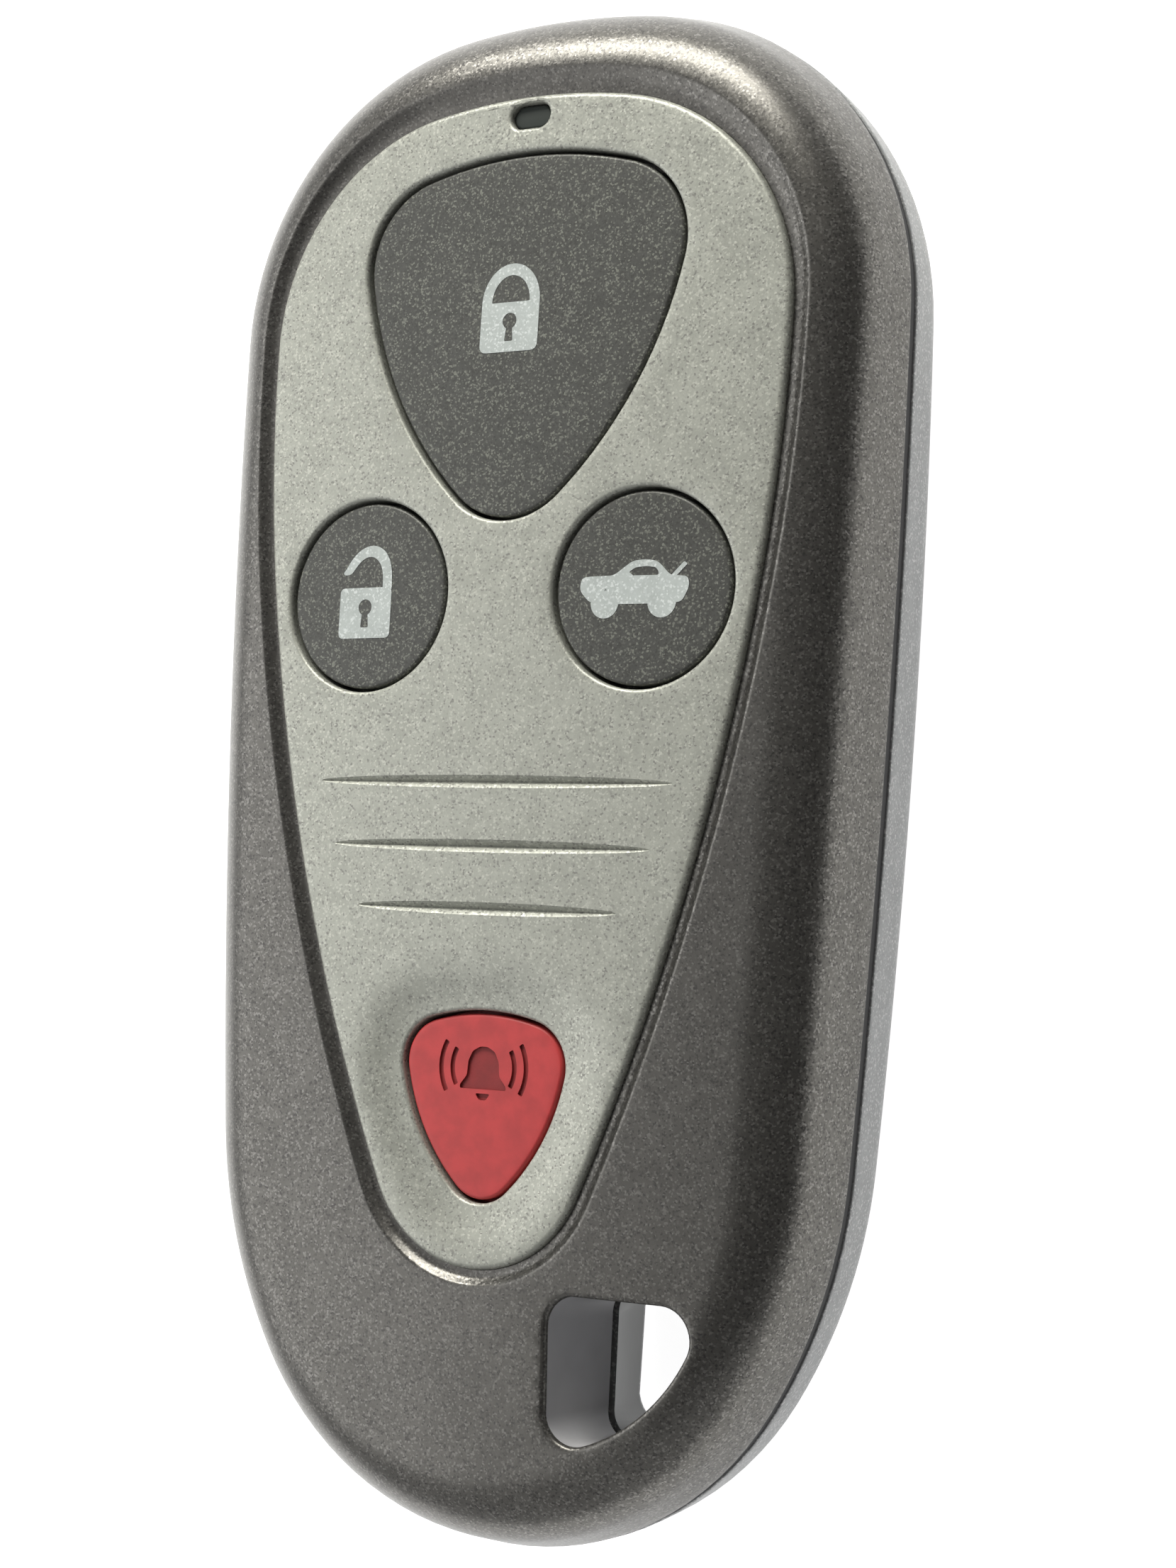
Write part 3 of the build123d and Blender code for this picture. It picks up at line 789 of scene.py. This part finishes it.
class Finish:
    """One material, built from nodes."""

    def __init__(self, name):
        FINISHES[name] = self.material = bpy.data.materials.new(name)
        self.material.use_nodes = True
        self.tree = self.material.node_tree
        self.shader = self.tree.nodes["Principled BSDF"]

    def node(self, kind, settings=None, values=None, out=0):
        """Adds a node with its settings and its sockets' values or links, and gives one of its outputs."""
        made = self.tree.nodes.new(kind)
        for key, value in (settings or {}).items():
            setattr(made, key, value)
        for key, value in (values or {}).items():
            if isinstance(value, Wire):
                self.tree.links.new(value.socket, made.inputs[key])
            else:
                made.inputs[key].default_value = value
        return Wire(self, made.outputs[out])

    def set(self, **values):
        """Sets or links the shader's own sockets. Underscores stand for spaces."""
        for key, value in values.items():
            socket = self.shader.inputs[key.replace("_", " ")]
            if isinstance(value, Wire):
                self.tree.links.new(value.socket, socket)
            else:
                socket.default_value = value
        return self

    def places(self):
        return self.node("ShaderNodeTexCoord", out="Object")

    def vector(self, operation, first, second=(0, 0, 0), out=0):
        return self.node("ShaderNodeVectorMath", {"operation": operation}, {0: first, 1: second}, out)

    def cells(self, size, out="Color"):
        """Random cells of about the given size in metres."""
        return self.node("ShaderNodeTexVoronoi", {}, {"Vector": self.places(), "Scale": 1 / size}, out)

    def cloud(self, size, detail=2.0, rough=0.5, seed=0.0):
        """Smooth noise of about the given size in metres, from 0 to 1."""
        moved = self.vector("ADD", self.places(), (seed, seed * 1.3, seed * 0.7))
        values = {"Vector": moved, "Scale": 1 / size, "Detail": detail, "Roughness": rough}
        return self.node("ShaderNodeTexNoise", {}, values)

    def blend(self, factor, first, second):
        """A colour between two colours."""
        return self.node(
            "ShaderNodeMix", {"data_type": "RGBA"}, {0: factor, 6: paint(first), 7: paint(second)}, 2
        )

    def part(self, colour_wire, channel):
        """One channel of a colour, as a number."""
        return self.node("ShaderNodeSeparateColor", {}, {0: colour_wire}, channel)

    def bump(self, height, distance, strength=1.0, normal=None):
        values = {"Height": height, "Distance": distance, "Strength": strength}
        if normal is not None:
            values["Normal"] = normal
        return self.node("ShaderNodeBump", {}, values)

    def specks(self, spacing, size, chance):
        """Small scattered spots, from 1 in a spot to 0 around it, in the given share of the cells."""
        spot = self.cells(spacing, "Distance").ramp(0, size / spacing, 1, 0)
        return spot * (self.part(self.cells(spacing), 2) < chance)


def paint(value):
    """A colour with its alpha, or a wire as it is."""
    return value if isinstance(value, Wire) else (*value[:3], 1.0)


def flaked(name, base, flake, dark, grain, bright_share, dark_share, tilt, metal, rough):
    """Metallic paint: cells of bright and dark flakes, each leant its own way."""
    finish = Finish(name)
    cell = finish.cells(grain)
    pick = finish.part(cell, 0)
    bright = pick.ramp(1 - bright_share, 1.0)
    deep = pick.ramp(0.0, dark_share, 1.0, 0.0)
    mottle = finish.cloud(grain * 16, detail=3, rough=0.6).ramp(0.3, 0.7)
    body = finish.blend(mottle, [c * 0.93 for c in base], [min(1, c * 1.07) for c in base])
    body = finish.blend(deep, body, dark)
    body = finish.blend(bright, body, flake)
    body = finish.blend(finish.specks(grain * 6, grain * 1.1, 0.14) * 0.6, body, dark)
    geometry = finish.node("ShaderNodeNewGeometry", out="Normal")
    spread = finish.vector("SUBTRACT", cell, (0.5, 0.5, 0.5))
    lean = finish.vector("MULTIPLY", spread, (tilt, tilt, tilt))
    sparkle = finish.vector("NORMALIZE", finish.vector("ADD", geometry, lean))
    peel = finish.bump(finish.cloud(grain * 9, detail=2), 0.008 * MM, 0.5, normal=sparkle)
    roughness = rough + finish.cloud(grain * 60, detail=2, seed=0.02) * 0.06
    finish.set(Base_Color=body, Metallic=metal, Roughness=roughness, Normal=peel)


def plain(name, base, rough, metal=0.0, grain=0.3 * MM, depth=0.01 * MM, change=0.12):
    """Moulded or rolled stock with a fine grain and a little change of tone."""
    finish = Finish(name)
    tone = finish.cloud(grain * 8, detail=3)
    darker, lighter = [c * (1 - change) for c in base], [c * (1 + change) for c in base]
    body = finish.blend(tone.ramp(0.25, 0.75), darker, lighter)
    bump = finish.bump(finish.cloud(grain, detail=2), depth, 0.6)
    finish.set(Base_Color=body, Roughness=rough + tone * 0.08, Metallic=metal, Normal=bump)


class REMOTE_OT_finishes(bpy.types.Operator):
    """Makes the paints, plastics and metals of the remote"""

    bl_idname = "remote.finishes"
    bl_label = "Finishes"

    def execute(self, context):
        paints = context.scene.remote_paints
        for looks in (
            ("gunmetal_paint", paints.gunmetal, paints.gunmetal_flake, (0.07, 0.067, 0.064),
             0.095 * MM, 0.3, 0.3, 0.06, 0.75, 0.28),
            ("silver_paint", paints.silver, paints.silver_flake, (0.21, 0.21, 0.19),
             0.095 * MM, 0.3, 0.2, 0.10, 0.35, 0.38),
            ("rear_silver", paints.rear, (0.52, 0.52, 0.52), (0.26, 0.26, 0.26),
             0.095 * MM, 0.3, 0.2, 0.08, 0.4, 0.36),
            ("dark_button", paints.button, paints.button_flake, (0.045, 0.045, 0.04),
             0.085 * MM, 0.3, 0.3, 0.08, 0.3, 0.42),
            ("sign_print", paints.sign, (0.66, 0.70, 0.69), (0.50, 0.54, 0.53),
             0.095 * MM, 0.3, 0.2, 0.05, 0.0, 0.5),
        ):
            flaked(*looks)
        for name, base, rough, settings in (
            ("red_button", paints.alarm, 0.42, {"grain": 0.12 * MM, "depth": 0.006 * MM}),
            # Painted shade: the sunk alarm sign is the button's own red at half strength, darkened for the
            # shade in its groove
            ("red_groove_painted_shade", [c * 0.5 for c in paints.alarm], 0.6, {"grain": 0.12 * MM}),
            # Front wall of the keyring hole: its dark plastic lightened as painted light
            ("raw_plastic_painted_light", paints.raw_and_painted_light, 0.33, {"grain": 0.6 * MM, "depth": 0.008 * MM}),
            ("raw_rear", paints.raw_rear, 0.33, {"grain": 0.6 * MM, "depth": 0.008 * MM}),
            ("black_seal", (0.012, 0.012, 0.013), 0.6, {}),
            ("grey_rubber", (0.16, 0.16, 0.16), 0.7, {}),
            ("board_laminate", (0.02, 0.13, 0.05), 0.35, {}),
            ("black_plastic", (0.02, 0.02, 0.021), 0.5, {}),
            ("steel", (0.62, 0.62, 0.60), 0.28, {"metal": 1.0}),
            ("spring_steel", (0.55, 0.54, 0.50), 0.3, {"metal": 1.0}),
            ("screw_steel", (0.32, 0.32, 0.33), 0.32, {"metal": 1.0, "depth": 0.02 * MM}),
            ("copper", (0.72, 0.50, 0.24), 0.3, {"metal": 1.0}),
            ("chip_resin", (0.03, 0.03, 0.032), 0.5, {}),
            ("ceramic", (0.45, 0.36, 0.25), 0.45, {}),
            ("clear_resin", (0.75, 0.72, 0.66), 0.2, {}),
            ("smoked_lens", paints.lens, 0.6, {"grain": 0.5 * MM, "depth": 0.002 * MM}),
        ):
            plain(name, base, rough, **settings)
        return {"FINISHED"}


class REMOTE_OT_front_shell(bpy.types.Operator):
    """Draws the painted front shell with its recess, deck, inner space and keyring hole"""

    bl_idname = "remote.front_shell"
    bl_label = "Front Shell"

    def execute(self, context):
        case, _ = sizes()
        rings = [list(ring) for ring in zip(*front_sections())]
        shell = skin("front_case", rings, "gunmetal_paint")
        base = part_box("front_shell")[0].z
        deck_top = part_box("face_plate")[0].z
        height = height_on(shell, 1)
        combine(shell, flared(height, 1, 0.0, base, "raw_plastic_painted_light", "gunmetal_paint"))
        combine(shell, prism(inner_outline(case.wall), base - BEYOND, deck_top - case.deck))
        for hole in face_holes():
            combine(shell, prism(hole, deck_top - 2 * case.deck, deck_top + case.deck / 2))
        screw = circle((case.screw_x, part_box("front_shell")[0].y + case.screw_y), case.screw_bore / 2, 24)
        combine(shell, prism(screw, base - BEYOND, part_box("case_screw")[1].z + 0.1 * MM))
        smooth(shell)
        dress(shell, "case", "gunmetal_paint", "front_shell")
        return {"FINISHED"}


class REMOTE_OT_rear_shell(bpy.types.Operator):
    """Draws the silver rear shell with its flat land, inner space, keyring hole and screw recess"""

    bl_idname = "remote.rear_shell"
    bl_label = "Rear Shell"

    def execute(self, context):
        case, _ = sizes()
        rings = [list(ring) for ring in zip(*rear_sections())]
        shell = skin("rear_case", rings, "rear_silver")
        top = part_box("rear_shell")[1].z
        height = height_on(shell, -1)
        combine(shell, flared(height, -1, case.ring_flare, top, "raw_rear", "rear_silver"))
        combine(shell, prism(inner_outline(case.wall), case.floor_height + case.low_depth, top + BEYOND))
        combine(shell, prism(inner_outline(case.low_wall), case.floor_height, top + BEYOND))
        spot = (case.screw_x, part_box("rear_shell")[0].y + case.screw_y)
        combine(shell, prism(circle(spot, case.screw_head / 2, 48), -BEYOND, case.screw_seat))
        combine(shell, prism(circle(spot, case.screw_bore / 2, 24), -BEYOND, top + BEYOND))
        smooth(shell)
        dress(shell, "case", "rear_silver", "rear_shell")
        return {"FINISHED"}


class REMOTE_OT_face_plate(bpy.types.Operator):
    """Draws the silver plate with its openings, grooves and sunk collar"""

    bl_idname = "remote.face_plate"
    bl_label = "Face Plate"

    def execute(self, context):
        _, face = sizes()
        low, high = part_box("face_plate")
        top = high.z
        outline = plate_outline()
        rings = [outline.ring(low.z - (top - low.z)), outline.ring(top - face.plate_round)]
        for inset, sunk in quarter(face.plate_round, PLATE_EDGE_STEPS, 1):
            rings.append(outline.ring(top - sunk, -inset))
        plate = skin("silver_plate", rings, "silver_paint")
        edge_level = top - 1e-6

        def is_rim(edge):
            flat = all(v.co.z > edge_level for v in edge.verts)
            return flat and any(abs(f.normal.z) < 0.5 for f in edge.link_faces)

        def round_rims():
            pick_edges(is_rim)
            bpy.ops.mesh.bevel(offset=face.hole_round, segments=4, profile=0.5, affect="EDGES")

        for hole in face_holes():
            combine(plate, prism(hole, low.z - BEYOND, top + BEYOND))
        in_edit_mode(plate, round_rims)
        for groove in GROOVES:
            combine(plate, groove_cutter(top, *groove))
        bisect_grid(plate, 0.8 * MM, low, high)
        level = face_level()
        panic = hole_outline("panic")
        panic_points = panic.points
        middle = panic.middle()
        reach = face.dish_reach + 6 * MM

        def crown(place):
            """Takes the flat top down to the crown and into the collar, and keeps the underside flat."""
            flat = Vector((place.x, place.y))
            sunk = top - level(place.x, place.y)
            if (flat - middle).length < reach:
                gap = min((flat - p).length for p in panic_points)
                t = (gap - face.dish_margin) / (face.dish_reach - face.dish_margin)
                t = min(1.0, max(0.0, t))
                sunk += face.dish_depth * (1 - t * t * (3 - 2 * t))
            return Vector((place.x, place.y, max(low.z, place.z - sunk)))

        reshape(plate, crown)
        smooth(plate)
        dress(plate, "case", "silver_paint", "face_plate")
        return {"FINISHED"}


PLATE_EDGE_STEPS = 5
CAP_EDGE_STEPS = 6
LENS_EDGE_STEPS = 4

# Grooves across the plate: half their length, and the share of the plate's length above them
GROOVES = ((9.95 * MM, 0.5919), (8.9 * MM, 0.6463), (7.3 * MM, 0.6990))


def groove_cutter(top, half, share_down):
    """A spindle that leaves a groove with tapering ends."""
    _, face = sizes()
    low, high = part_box("face_plate")
    y = high.y - (high.y - low.y) * share_down
    over = 0.35 * MM
    section = [(-1.0, 0.0), (-0.55, 0.3), (0.0, 1.0), (0.3, 0.7), (1.0, 0.0)]
    steps = 26
    rings = []
    for i in range(steps + 1):
        angle = pi * (0.02 + 0.96 * i / steps)
        x = -half * cos(angle)
        width = face.groove_width / 2 * sin(angle)
        depth = face.groove_depth * sin(angle)
        ring = [(x, y + width * across, top - depth * down) for across, down in section]
        rings.append([(x, y - width, top + over), *ring, (x, y + width, top + over)])
    return skin("cutter", rings)


def cap_rings(outline, name, level, edge):
    """Rings of a button from its flange to the middle of its crowned top."""
    _, face = sizes()
    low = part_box(f"{name}_button")[0]
    flange_top = low.z + face.flange_height
    wall = -face.button_gap
    rings = [
        outline.ring(low.z, face.flange_margin),
        outline.ring(flange_top, face.flange_margin),
        outline.ring(flange_top, wall),
    ]
    for inset, sunk in quarter(edge, CAP_EDGE_STEPS):
        rings.append(outline.ring(level, wall - inset, sunk))
    middle = outline.middle()
    inner = outline.at(wall - edge)
    for t in (0.06, 0.14, 0.25, 0.38, 0.52, 0.66, 0.8, 0.92, 1.0):
        points = [p.lerp(middle, t) for p in inner]
        rings.append([(p.x, p.y, level(p.x, p.y)) for p in points])
    return rings


class REMOTE_OT_buttons(bpy.types.Operator):
    """Draws the four buttons with their rounded edges and crowned tops"""

    bl_idname = "remote.buttons"
    bl_label = "Buttons"

    def execute(self, context):
        _, face = sizes()
        for name in BUTTONS:
            drop = face.button_drop + (face.dish_depth if name == "panic" else 0)
            rings = cap_rings(hole_outline(name), name, face_level(drop), face.button_edge)
            slot_name = "red_button" if name == "panic" else "dark_button"
            button = skin(f"{name}_cap", rings, slot_name, close_end="point")
            if name == "panic":
                for cutter in alarm_sign(face_level(drop)):
                    combine(button, cutter)
            smooth(button)
            dress(button, name, slot_name, f"{name}_button")
        return {"FINISHED"}


def alarm_sign(level):
    """Cutters for a plain bell with a sound wave on each side."""
    _, face = sizes()
    low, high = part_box("panic_button")
    centre = Vector(((low.x + high.x) / 2, low.y + (high.y - low.y) * 0.66))
    bell = [
        (-0.2, 1.2), (0.2, 1.2), (0.62, 0.98), (0.86, 0.5), (0.92, -0.2), (1.3, -0.66), (1.3, -0.84),
        (-1.3, -0.84), (-1.3, -0.66), (-0.92, -0.2), (-0.86, 0.5), (-0.62, 0.98),
    ]
    clapper = [(-0.42, -1.04), (0.42, -1.04), (0.2, -1.36), (-0.2, -1.36)]
    outlines = [polygon(shifted(shape, centre / MM), 0.12 * MM, 3) for shape in (bell, clapper)]
    half = 0.13
    for side in (-1, 1):
        for radius in (1.75, 2.4):
            outer = arc_points((0, 0.2), side * (radius + half), radius + half, 30, -30, 8)
            inner = arc_points((0, 0.2), side * (radius - half), radius - half, -30, 30, 8)
            wave = outer + inner
            if side < 0:
                wave.reverse()
            outlines.append(polygon(shifted(wave, centre / MM), 0.06 * MM, 2))
    cutters = []
    for outline in outlines:
        bottom = outline.ring(lambda x, y: level(x, y) - face.sign_depth)
        # The sign's cut faces take the darker red, painted shade in the groove
        cutters.append(skin("cutter", [bottom, outline.ring(level(0, 0) + BEYOND)], "red_groove_painted_shade"))
    return cutters


def plaque(name, outline, cutters=(), joins=()):
    """A thin printed sign that follows the crown of its button."""
    _, face = sizes()
    thick = 1 * MM
    sign = prism(outline, 0, thick, "sign_print")
    sign.name = sign.data.name = name
    for other in joins:
        combine(sign, prism(other, 0, thick, "sign_print"), "UNION")
    for hole in cutters:
        combine(sign, prism(hole, -thick, 2 * thick))
    corners = [Vector(c) for c in sign.bound_box]
    low = Vector((min(c.x for c in corners), min(c.y for c in corners)))
    high = Vector((max(c.x for c in corners), max(c.y for c in corners)))
    bisect_grid(sign, 0.7 * MM, low, high)
    level = face_level(face.button_drop)

    def lay(place):
        rise = face.print_height if place.z > thick / 2 else -face.print_height
        return Vector((place.x, place.y, level(place.x, place.y) + rise))

    reshape(sign, lay)
    return sign


def shifted(points, centre):
    return [Vector(p) * MM + Vector(centre) * MM for p in points]


def keyhole(centre):
    """The outline of a keyhole, as its round head and its slot."""
    head = circle(Vector(centre) * MM, 0.4 * MM, 24)
    foot = polygon(shifted([(-0.16, -0.2), (0.16, -0.2), (0.24, -1.0), (-0.24, -1.0)], centre), 0.08 * MM, 3)
    return [head, foot]


def arc_points(centre, across, along, start, end, steps):
    """Points on part of an ellipse, in millimetres, for angles in degrees."""
    found = []
    for i in range(steps + 1):
        angle = radians(start + (end - start) * i / steps)
        found.append((centre[0] + across * cos(angle), centre[1] + along * sin(angle)))
    return found


class REMOTE_OT_signs(bpy.types.Operator):
    """Prints a closed padlock, an open padlock and a car with its boot open on the buttons"""

    bl_idname = "remote.signs"
    bl_label = "Signs"

    def execute(self, context):
        at = (-0.42, 22.19)
        arch = arc_points((0, 0.28), 1.65, 1.91, 180, 0, 20)
        body = polygon(shifted([(-1.65, -2.19), *arch, (1.65, -2.19)], at), 0.4 * MM, 4)
        bow = arc_points((0, 0.27), 1.08, 1.34, 180, 0, 16)
        opening = polygon(shifted(bow, at), 0.05 * MM, 2)
        holes = [opening, *keyhole((at[0], at[1] - 0.66))]
        dress(plaque("lock_sign", body, holes), "lock", "clear_resin")

        at = (-7.96, 8.45)
        box = [(-1.57, -2.32), (-1.57, 0.2), (1.57, 0.2), (1.57, -2.32)]
        body = polygon(shifted(box, at), 0.3 * MM, 4)
        outer = [
            (-1.46, 0.96), (-1.28, 1.18), (-1.0, 1.6), (-0.6, 2.0), (-0.15, 2.24), (0.3, 2.31), (0.72, 2.22),
            (1.12, 1.94), (1.4, 1.48), (1.54, 0.9), (1.57, 0.0),
        ]
        inner = [
            (1.02, 0.0), (1.0, 0.75), (0.9, 1.2), (0.68, 1.54), (0.34, 1.74), (0.0, 1.74), (-0.34, 1.58),
            (-0.65, 1.28), (-0.9, 0.95), (-1.1, 0.86), (-1.36, 0.86),
        ]
        shackle = polygon(shifted(outer + inner, at), 0.2 * MM, 3)
        holes = keyhole((at[0], at[1] - 0.78))
        dress(plaque("unlock_sign", body, holes, [shackle]), "unlock", "clear_resin")

        at = (7.33, 8.2)
        car = [
            (-2.88, 0.2), (-2.78, 0.56), (-2.45, 0.62), (-1.1, 0.64), (-0.55, 1.02), (-0.15, 1.3),
            (0.3, 1.37), (0.85, 1.36), (1.25, 1.24), (1.88, 0.62), (2.2, 0.58), (2.78, 0.54), (2.89, 0.2),
            (2.85, -0.05), (2.55, -0.66), (1.5, -0.72), (-1.5, -0.72), (-2.35, -0.6), (-2.82, -0.1),
        ]
        body = polygon(shifted(car, at), 0.24 * MM, 4)
        glass = [
            (-0.44, 0.62), (-0.2, 0.86), (0.06, 1.0), (0.6, 1.05), (1.1, 0.99), (1.27, 0.8), (1.28, 0.62),
        ]
        window = polygon(shifted(glass, at), 0.1 * MM, 3)
        lid = [(1.9, 0.56), (2.58, 1.24), (2.76, 1.12), (2.2, 0.56)]
        joins = [polygon(shifted(lid, at), 0.06 * MM, 3)]
        for wheel in shifted([(-1.51, -0.65), (1.51, -0.65)], at):
            joins.append(circle(wheel, 0.74 * MM, 32))
        dress(plaque("trunk_sign", body, [window], joins), "trunk", "clear_resin")
        return {"FINISHED"}


class REMOTE_OT_light_window(bpy.types.Operator):
    """Draws the smoked window over the status light"""

    bl_idname = "remote.light_window"
    bl_label = "Light Window"

    def execute(self, context):
        _, face = sizes()
        low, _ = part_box("light_lens")
        outline = light_outline()
        level = face_level(face.light_drop)
        rings = [outline.ring(low.z, -face.light_gap)]
        for inset, sunk in quarter(face.light_edge, LENS_EDGE_STEPS):
            rings.append(outline.ring(level, -face.light_gap - inset, sunk))
        lens = skin("light_window", rings, "smoked_lens")
        smooth(lens)
        dress(lens, "case", "smoked_lens", "light_lens")
        return {"FINISHED"}


class REMOTE_OT_inner_pieces(bpy.types.Operator):
    """Gives the frame's own seal, screw and inner pieces their finishes"""

    bl_idname = "remote.inner_pieces"
    bl_label = "Inner Pieces"

    def execute(self, context):
        for name, slot_name in INNER_FINISHES.items():
            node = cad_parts[name]
            node.data.materials.clear()
            node.data.materials.append(FINISHES[slot_name])
        return {"FINISHED"}


# The photograph's camera, from the fit to the case, the buttons and the grooves
CAMERA_PLACE = Vector((73.156, -9.455, 126.008)) * MM
CAMERA_AHEAD = Vector((-0.50929, 0.06356, -0.85824))
CAMERA_UP = Vector((-0.00862, 0.99684, 0.07894))
FOCAL_PIXELS = 4000.0
PHOTO_HEIGHT = 2212.0
SENSOR = 36.0
FLOOR_GLOW = 0.93       # how bright the floor looks where no lamp reaches it


def face_middle(thing, azimuth, elevation, distance):
    """Puts a thing where it faces the remote's middle. Azimuth 0 is the light end, and 90 the right."""
    turn, lift = radians(azimuth), radians(elevation)
    thing.location = Vector((sin(turn) * cos(lift), cos(turn) * cos(lift), sin(lift))) * distance
    thing.rotation_mode = "QUATERNION"
    thing.rotation_quaternion = (-thing.location).to_track_quat("-Z", "Y")


def lamp(name, azimuth, elevation, distance, width, height, radiance, tint=(1, 1, 1)):
    """A soft panel that lights the remote from one side."""
    bpy.ops.object.light_add(type="AREA")
    panel = bpy.context.object
    panel.name = name
    face_middle(panel, azimuth, elevation, distance)
    panel.data.shape = "RECTANGLE"
    panel.data.size, panel.data.size_y = width, height
    panel.data.energy = radiance * pi * width * height
    panel.data.color = tint


class REMOTE_OT_stage(bpy.types.Operator):
    """Sets up the pale floor, the soft lamps, the surroundings and the camera"""

    bl_idname = "remote.stage"
    bl_label = "Stage"

    def execute(self, context):
        deselect()
        bpy.ops.mesh.primitive_plane_add(size=3.0, location=(0, 0, 0))
        floor = context.object
        floor.name = "floor"
        white = Finish("floor")
        kinds = ("Is Camera Ray", "Is Glossy Ray", "Is Transmission Ray")
        seen = [white.node("ShaderNodeLightPath", out=kind) for kind in kinds]
        white.set(Base_Color=(0.82, 0.82, 0.82, 1), Roughness=0.9, Emission_Strength=FLOOR_GLOW)
        white.set(Emission_Color=white.blend(seen[0] + seen[1] + seen[2], (0, 0, 0), (1, 1, 1)))
        floor.data.materials.append(white.material)

        bpy.ops.mesh.primitive_plane_add(size=1.0, location=(0, 0, 0))
        card = context.object
        card.name = "dark_card"
        face_middle(card, 78, 54, 0.42)
        for vertex in card.data.vertices:
            vertex.co = card.matrix_basis @ vertex.co
        card.matrix_basis.identity()
        card.visible_camera = False
        black = Finish("dark_card")
        black.set(Base_Color=(0.13, 0.13, 0.135, 1), Roughness=1.0)
        card.data.materials.append(black.material)

        lamp("window", -14, 28, 0.6, 0.44, 0.2, 15.5, (1.0, 0.98, 0.91))
        lamp("left_panel", -92, 38, 0.5, 0.5, 0.36, 1.4)

        world = bpy.data.worlds.new("surroundings")
        world.use_nodes = True
        context.scene.world = world
        background = world.node_tree.nodes["Background"]
        background.inputs["Color"].default_value = (1, 1, 1, 1)
        background.inputs["Strength"].default_value = 0.56

        bpy.ops.object.camera_add(location=CAMERA_PLACE)
        camera = context.object
        right = CAMERA_AHEAD.cross(CAMERA_UP).normalized()
        up = right.cross(CAMERA_AHEAD).normalized()
        turn = Matrix((right, up, -CAMERA_AHEAD.normalized())).transposed()
        camera.rotation_mode = "QUATERNION"
        camera.rotation_quaternion = turn.to_quaternion()
        camera.data.sensor_width = SENSOR
        camera.data.lens = FOCAL_PIXELS * SENSOR / PHOTO_HEIGHT
        camera.data.clip_start, camera.data.clip_end = 0.005, 10
        context.scene.camera = camera
        context.scene.view_settings.view_transform = "Standard"
        return {"FINISHED"}


class REMOTE_PT_panel(bpy.types.Panel):
    """Lists the steps that build the remote"""

    bl_label = "Remote"
    bl_space_type = "VIEW_3D"
    bl_region_type = "UI"
    bl_category = "Remote"

    def draw(self, context):
        for step in STEPS:
            self.layout.operator(step.bl_idname)


GROUPS = {"remote_case": CaseSizes, "remote_face": FaceSizes, "remote_paints": Paints}
STEPS = (
    REMOTE_OT_finishes,
    REMOTE_OT_front_shell,
    REMOTE_OT_rear_shell,
    REMOTE_OT_face_plate,
    REMOTE_OT_buttons,
    REMOTE_OT_signs,
    REMOTE_OT_light_window,
    REMOTE_OT_inner_pieces,
    REMOTE_OT_stage,
)
CLASSES = (*GROUPS.values(), *STEPS, REMOTE_PT_panel)


def register():
    for one in CLASSES:
        bpy.utils.register_class(one)
    for name, group in GROUPS.items():
        setattr(bpy.types.Scene, name, PointerProperty(type=group))


def unregister():
    for name in GROUPS:
        delattr(bpy.types.Scene, name)
    for one in reversed(CLASSES):
        bpy.utils.unregister_class(one)


def main():
    register()
    for step in STEPS:
        group, name = step.bl_idname.split(".")
        getattr(getattr(bpy.ops, group), name)()


if __name__ == "__main__":
    main()
